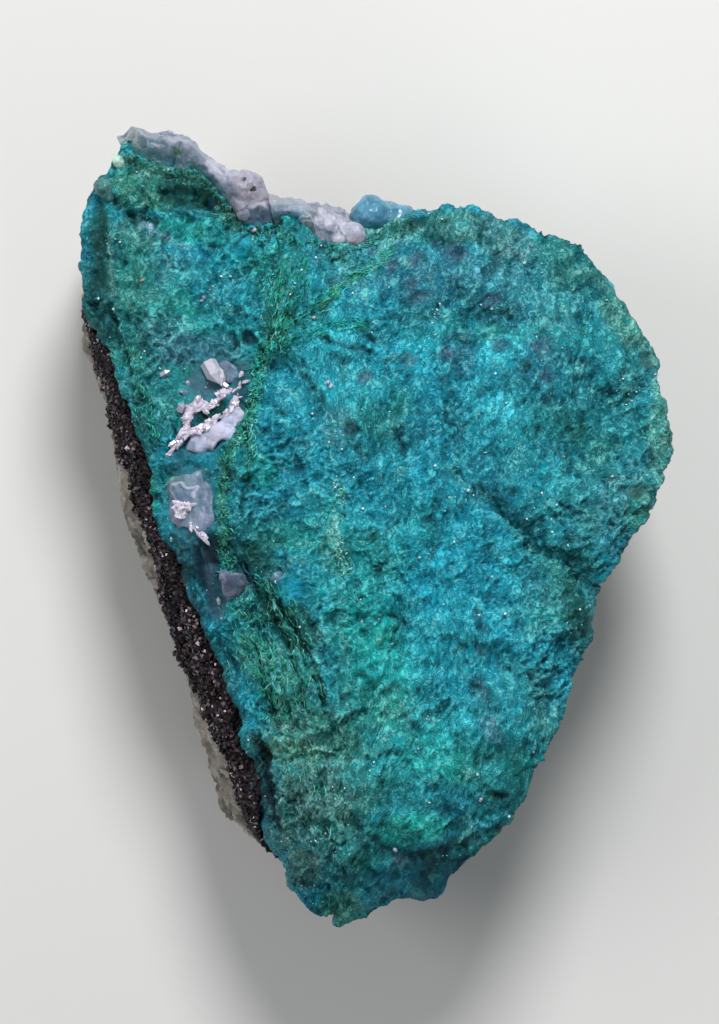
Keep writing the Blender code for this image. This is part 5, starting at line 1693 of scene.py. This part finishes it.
# single crystals: x, y, length, width, lean in degrees, heading in degrees, colour
quartz["crystals"] = (
    (-16.3, 15.7, 2.6, 1.7, 72, -62, "cloud"), (-15.5, 15.2, 1.9, 1.2, 66, -84, "cloud"),
    (-15, 14.2, 1.2, 0.7, 75, -40, "milk"), (-13.4, 15.4, 0.9, 0.5, 60, 240, "cloud"),
    (-13, 14.6, 0.8, 0.4, 60, 200, "cloud"), (-21.1, 15.5, 1.1, 0.8, 70, 30, "milk"),
    (-18.8, 14.5, 0.7, 0.5, 60, 100, "lilac"), (-19.2, 13.6, 0.9, 0.5, 75, 160, "milk"),
    (-19.4, 12, 1, 0.9, 75, 70, "lilac"), (-15.7, -7.4, 0.9, 0.5, 50, 100, "cloud"),
    (-17.2, -10.1, 0.8, 0.35, 60, 110, "cloud"), (-10, -5, 1.2, 0.45, 60, 150, "cloud"),
    (-7.5, -4.3, 0.7, 0.4, 40, 30, "cloud"), (-7, -6.2, 0.9, 0.4, 60, 75, "cloud"),
    (-6.1, 21, 0.5, 0.35, 30, 0, "cloud"), (-4.7, 14.5, 0.6, 0.4, 40, 20, "cloud"),
    (-4.4, 14.1, 0.5, 0.35, 50, 250, "cloud"), (-17.2, 23.1, 0.6, 0.4, 40, 60, "lilac"),
    (-17.4, 22.8, 0.5, 0.3, 50, 200, "lilac"), (10.6, -27.2, 0.6, 0.35, 40, 60, "cloud"),
    (2, -32.3, 0.6, 0.4, 40, 140, "cloud"), (-12.1, 29.9, 0.6, 0.4, 50, 20, "cloud"),
    (-14.1, 33.2, 0.5, 0.3, 50, 80, "cloud"), (-13.7, 33, 0.4, 0.25, 50, 200, "cloud"),
    (-23.4, 24.9, 0.6, 0.4, 50, 30, "sand"), (-20.5, -1.2, 0.6, 0.3, 50, 90, "pale"),
)


# A closed pillow between two chains: over the break it rises from edge to edge as one minus the fourth
# power of the way from its middle line, and beneath it lies flat. Its colour goes over into the
# glassy blue round it towards the edge
def buildAgate():
    options, points, faces, tints = agate, [], [], []
    u, v = np.linspace(0, 1, options["stations"])[:, None], np.linspace(-1, 1, options["across"])
    inner = (1 - v**4) * (1 - (2 * u - 1) ** 6)
    for number, (firstEdge, secondEdge, rise, colour) in enumerate(options["bodies"]):
        first, second = alongChain(firstEdge, u[:, 0]), alongChain(secondEdge, u[:, 0])
        x, y = [first[:, k, None] * (1 - v) / 2 + second[:, k, None] * (1 + v) / 2 for k in (0, 1)]
        flat = pointsOf(x.ravel(), y.ravel(), 0)
        ragged = (bend(flat, options["ragged"], 1.5, 905) - flat).reshape(*x.shape, 3)
        ragged = ragged * (1 - inner**2)[..., None]
        x, y = x + ragged[..., 0], y + ragged[..., 1]
        top = breakHeight(x, y) - options["edgeDrop"] + (rise + options["edgeDrop"]) * inner
        upper = pointsOf(x, y, top)
        rows = np.concatenate([upper, (upper - (0, 0, options["sink"]))[:, -2:0:-1]], axis=1)
        shares = np.concatenate([inner, inner[:, -2:0:-1]], axis=1).reshape(-1, 1)
        shares = ease(np.concatenate([shares, [(0,), (0,)]]) * options["edgeShare"])
        faces += tubeFaces(*rows.shape[:2], number * len(shares))
        points.append(np.concatenate([rows.reshape(-1, 3), rows[[0, -1]].mean(1)]))
        tints.append(towards(tone("petrol"), tone(colour), shares[:, 0]))
    piece = makePiece("agate_bodies", np.concatenate(points), faces)
    tidyMesh(piece, merge=False)
    points, outward = readPiece(piece)
    colour, gloss, lift = paintOver(points, np.concatenate(tints), agateMarks)
    edges = flakes(bend(points, 0.3, 1.0, 901), 1.9, 902, 0.9)[0]
    push = options["wobble"] * layers(points, 1.4, 3, 903) + options["facet"] * (edges - 0.25) + lift
    movePiece(piece, points + outward * push[:, None])
    storeOn(piece, tint=colour, gloss=np.clip(gloss, 0, 1))
    return piece


# Places spread evenly along a chain of points
def alongChain(chain, share):
    chain = np.array(chain, dtype=float)
    walked = np.concatenate([[0.0], np.cumsum(np.hypot(*np.diff(chain, axis=0).T))])
    return np.stack([np.interp(share * walked[-1], walked, chain[:, k]) for k in range(chain.shape[1])],
                    axis=1)


# Tubes along chains over the break, broken into facets by tilted flakes
def buildQuartzRidges():
    options, points, faces, headings = quartz, [], [], []
    turn = np.linspace(0, 2 * pi, options["around"], endpoint=False)
    for chain, radii in options["ridges"]:
        length = np.hypot(*np.diff(np.array(chain), axis=0).T).sum()
        stations = int(length / options["spacing"]) + 4
        share = np.linspace(0, 1, stations)
        middle = alongChain(chain, share)
        radius = options["radiusShare"] * np.interp(share, np.linspace(0, 1, len(radii)), radii)
        radius = radius * (0.25 + 0.75 * np.sin(pi * share) ** 0.35)
        forward = np.gradient(middle, axis=0)
        forward /= np.hypot(*forward.T)[:, None]
        sideways = radius[:, None] * np.cos(turn)
        x, y = middle[:, :1] - forward[:, 1:] * sideways, middle[:, 1:] + forward[:, :1] * sideways
        level = breakHeight(middle[:, 0], middle[:, 1])[:, None] + 0.1
        rows = np.stack([x, y, level + radius[:, None] * np.sin(turn) * 0.6], axis=-1)
        faces += tubeFaces(stations, options["around"], sum(len(part) for part in points))
        way = np.arctan2(forward[:, 1], forward[:, 0])
        headings.append(np.concatenate([np.repeat(way, options["around"]), way[[0, -1]]]))
        points.append(np.concatenate([rows.reshape(-1, 3), rows[[0, -1]].mean(1)]))
    piece = makePiece("quartz_ridges", np.concatenate(points), faces, smooth=False)
    tidyMesh(piece, merge=False)
    points, outward = readPiece(piece)
    facet = flakes(points, options["facet"], 910, 1.3)[0]
    points = points + outward * (options["facetPush"] * (facet - 0.3))[:, None]
    movePiece(piece, points + options["jitter"] * np.random.default_rng(912).uniform(-1, 1, points.shape))
    # painted light and shade: raised facets lighter, the low places between them darker
    tint = linear(options["ridgeTint"]) * (0.75 + 0.35 * facet)[:, None]
    storeOn(piece, tint=tint, heading=np.concatenate(headings))
    return piece


# Six-sided crystals: a crowd that grows out of the ridges, and single ones on the break
def buildQuartzCrystals(ridges, breakSurface):
    options, random = quartz, np.random.default_rng(920)
    ridge, count = surfaceOf([ridges], ("heading",)), options["ridgeCrystals"]
    at = pick(ridge, count, ease(ridge["outward"][:, 2] * 1.5), random)
    way = ridge["heading"][at] + options["crystalTurn"] * random.normal(size=count)
    way = way + pi * (random.random(count) < 0.5)
    along = pointsOf(np.cos(way), np.sin(way), between(options["crystalLift"], random.random(count)))
    length = between(options["crystalLength"], random.random(count) ** 2)
    width = length * between(options["crystalWidth"], random.random(count))
    places = ridge["middle"][at] - options["sink"] * ridge["outward"][at]
    tint = linear(options["ridgeTint"]) * between((0.6, 1.15), random.random(count))[:, None]
    single = np.array([row[:6] for row in options["crystals"]])
    under = faceUnder(breakSurface, single[:, :2])
    lean, heading = np.radians(single[:, 4]), np.radians(single[:, 5])
    singleAlong = pointsOf(np.sin(lean) * np.cos(heading), np.sin(lean) * np.sin(heading), np.cos(lean))
    height = breakSurface["middle"][under, 2] + 0.15 * single[:, 3]
    sunk = options["singleSink"] * single[:, 2:3] * singleAlong
    singlePlaces = np.column_stack([single[:, :2], height]) - sunk
    singleTint = np.array([tone(row[6]) for row in options["crystals"]])
    places, along = np.concatenate([places, singlePlaces]), np.concatenate([along, singleAlong])
    sizes = np.column_stack([np.concatenate([length, single[:, 2]]),
                             *[np.concatenate([width, single[:, 3]])] * 2])
    shape, turned = crystalShape(options["shoulder"]), squareUp(along, random.normal(size=along.shape))
    points, faces = joinCopies(shape, spindleFaces(2, 6), places, turned, sizes)
    piece = makePiece("quartz_crystals", points, faces, smooth=False)
    tidyMesh(piece, merge=False)
    tint = np.clip(np.concatenate([tint, singleTint]), 0, 0.9)
    storeOn(piece, tint=np.repeat(tint, len(shape), axis=0))
    return piece


# Clear quartz, clouded by a darker shade of its tint in veils of noise
def quartzMaterial(name, transmission, roughness):
    material, tree, surface = newMaterial(name)
    veil, tint = noiseNode(tree, millimetres(tree), 2.5, 4.0, 0.6), attribute(tree, "tint", "Color")
    dim = multiplied(tree, tint, (0.55, 0.58, 0.66, 1))
    base = mixColour(tree, spread(tree, veil, 0.5, 0.75, 0.0, 0.6), tint, dim)
    feed(tree, surface, {"Base Color": base, "Roughness": roughness, "IOR": quartz["ior"],
                         "Transmission Weight": transmission})
    return material


# Light, floor and camera

view = {
    "middle": (-1.55, 1.55), "focusHeight": 24.0, "distance": 500.0, "frameHeight": 102.4, "sensor": 36.0,
}
studio = {
    # place, size, strength in watts
    "lights": (("key", (60, 360, 360), 170, 3.1), ("fill", (-380, 40, 360), 300, 0.9),
               ("low", (260, -380, 260), 260, 0.45)),
    "world": (0.80, 0.82, 0.85, 1.0), "worldStrength": 0.3, "floor": (200, 200, 198), "floorSize": 1500.0,
}


# Turns a lamp so that its beam runs from its place to a target
def aimAt(placed, target):
    away = np.array(placed.location) - np.array(target)
    flat = np.hypot(away[0], away[1])
    placed.rotation_euler = (np.arctan2(flat, away[2]), 0.0,
                             np.arctan2(away[0], -away[1]) if flat > 0 else 0.0)


# Looks straight down, with a lens that takes in the frame height at the focus distance
def addCamera():
    camera = bpy.data.objects.new("camera", bpy.data.cameras.new("camera"))
    camera.data.sensor_width = view["sensor"]
    camera.data.lens = view["sensor"] * view["distance"] / view["frameHeight"]
    camera.data.clip_start, camera.data.clip_end = 0.01, 10.0
    camera.location = (view["middle"][0] * mm, view["middle"][1] * mm,
                       (view["focusHeight"] + view["distance"]) * mm)
    showObject(camera)
    bpy.context.scene.camera = camera


# Soft round lamps, aimed at the lump, and an even pale sky
def addStudio():
    for name, place, size, strength in studio["lights"]:
        lamp = bpy.data.objects.new(name, bpy.data.lights.new(name, "AREA"))
        lamp.data.shape, lamp.data.size, lamp.data.energy = "DISK", size * mm, strength
        lamp.location = np.array(place) * mm
        aimAt(lamp, (0, 0, 0.015))
        showObject(lamp)
    world = bpy.data.worlds.new("studio")
    world.use_nodes = True
    background = world.node_tree.nodes["Background"]
    feed(world.node_tree, background, {0: studio["world"], 1: studio["worldStrength"]})
    bpy.context.scene.world = world
    bpy.context.scene.view_settings.view_transform = "Standard"


# A plain pale floor, slightly uneven in tone, which is no part of the lump
def addFloor():
    half = studio["floorSize"] / 2
    corners = np.array(((-half, -half, 0), (half, -half, 0), (half, half, 0), (-half, half, 0)))
    floor = makePiece("floor", corners, [(0, 1, 2, 3)])
    material, tree, surface = newMaterial("floor_paper")
    speck = spread(tree, noiseNode(tree, millimetres(tree), 0.4, 4.0), 0.3, 0.7, 0.0, 0.03)
    base = mixColour(tree, speck, rgba(studio["floor"]), (0.5, 0.5, 0.5, 1))
    feed(tree, surface, {"Base Color": base, "Roughness": 0.85})
    floor.data.materials.append(material)


# Gives a finished piece its material, in a slot, and its body, and hides the lump's solid part
def keep(piece, material):
    piece.data.materials.append(material)
    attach(piece, "root")
    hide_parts(lumpNode)
    print("made", piece.name, len(piece.data.vertices), "points")


addCamera()
addStudio()
addFloor()
felt = chrysocollaMaterial()
masses = [buildRightMass(), buildLeftFacet()]
for mass in masses:
    keep(mass, felt)
breakSurface = surfaceOf(masses)
keep(buildSparkles(breakSurface), quartzMaterial("quartz_sparkle", 0.0, 0.15))
keep(buildMalachiteFibres(breakSurface), fibreMaterial("malachite_fibre", 0.45, 0.3))
crust = buildDarkCrust()
keep(crust, darkCrustMaterial())
keep(buildCrustGrains(crust), fibreMaterial("crust_grain", 0.3, 0.4))
keep(buildHostRock(), hostRockMaterial())
milky = chalcedonyMaterial("milky_chalcedony", "milky", 0.3)
keep(buildChalcedonyCrust(), milky)
keep(buildAgate(), chalcedonyMaterial("veined_chalcedony", "milky", 0.1))
glossy = chalcedonyMaterial("glossy_chalcedony", "glossy", 0.0)
for name in bulbs:
    keep(buildBulbs(name), milky if name.startswith("pale") else glossy)
ridges = buildQuartzRidges()
keep(ridges, quartzMaterial("sugary_quartz", 0.25, 0.15))
keep(buildQuartzCrystals(ridges, breakSurface), quartzMaterial("clear_quartz", 0.25, 0.1))
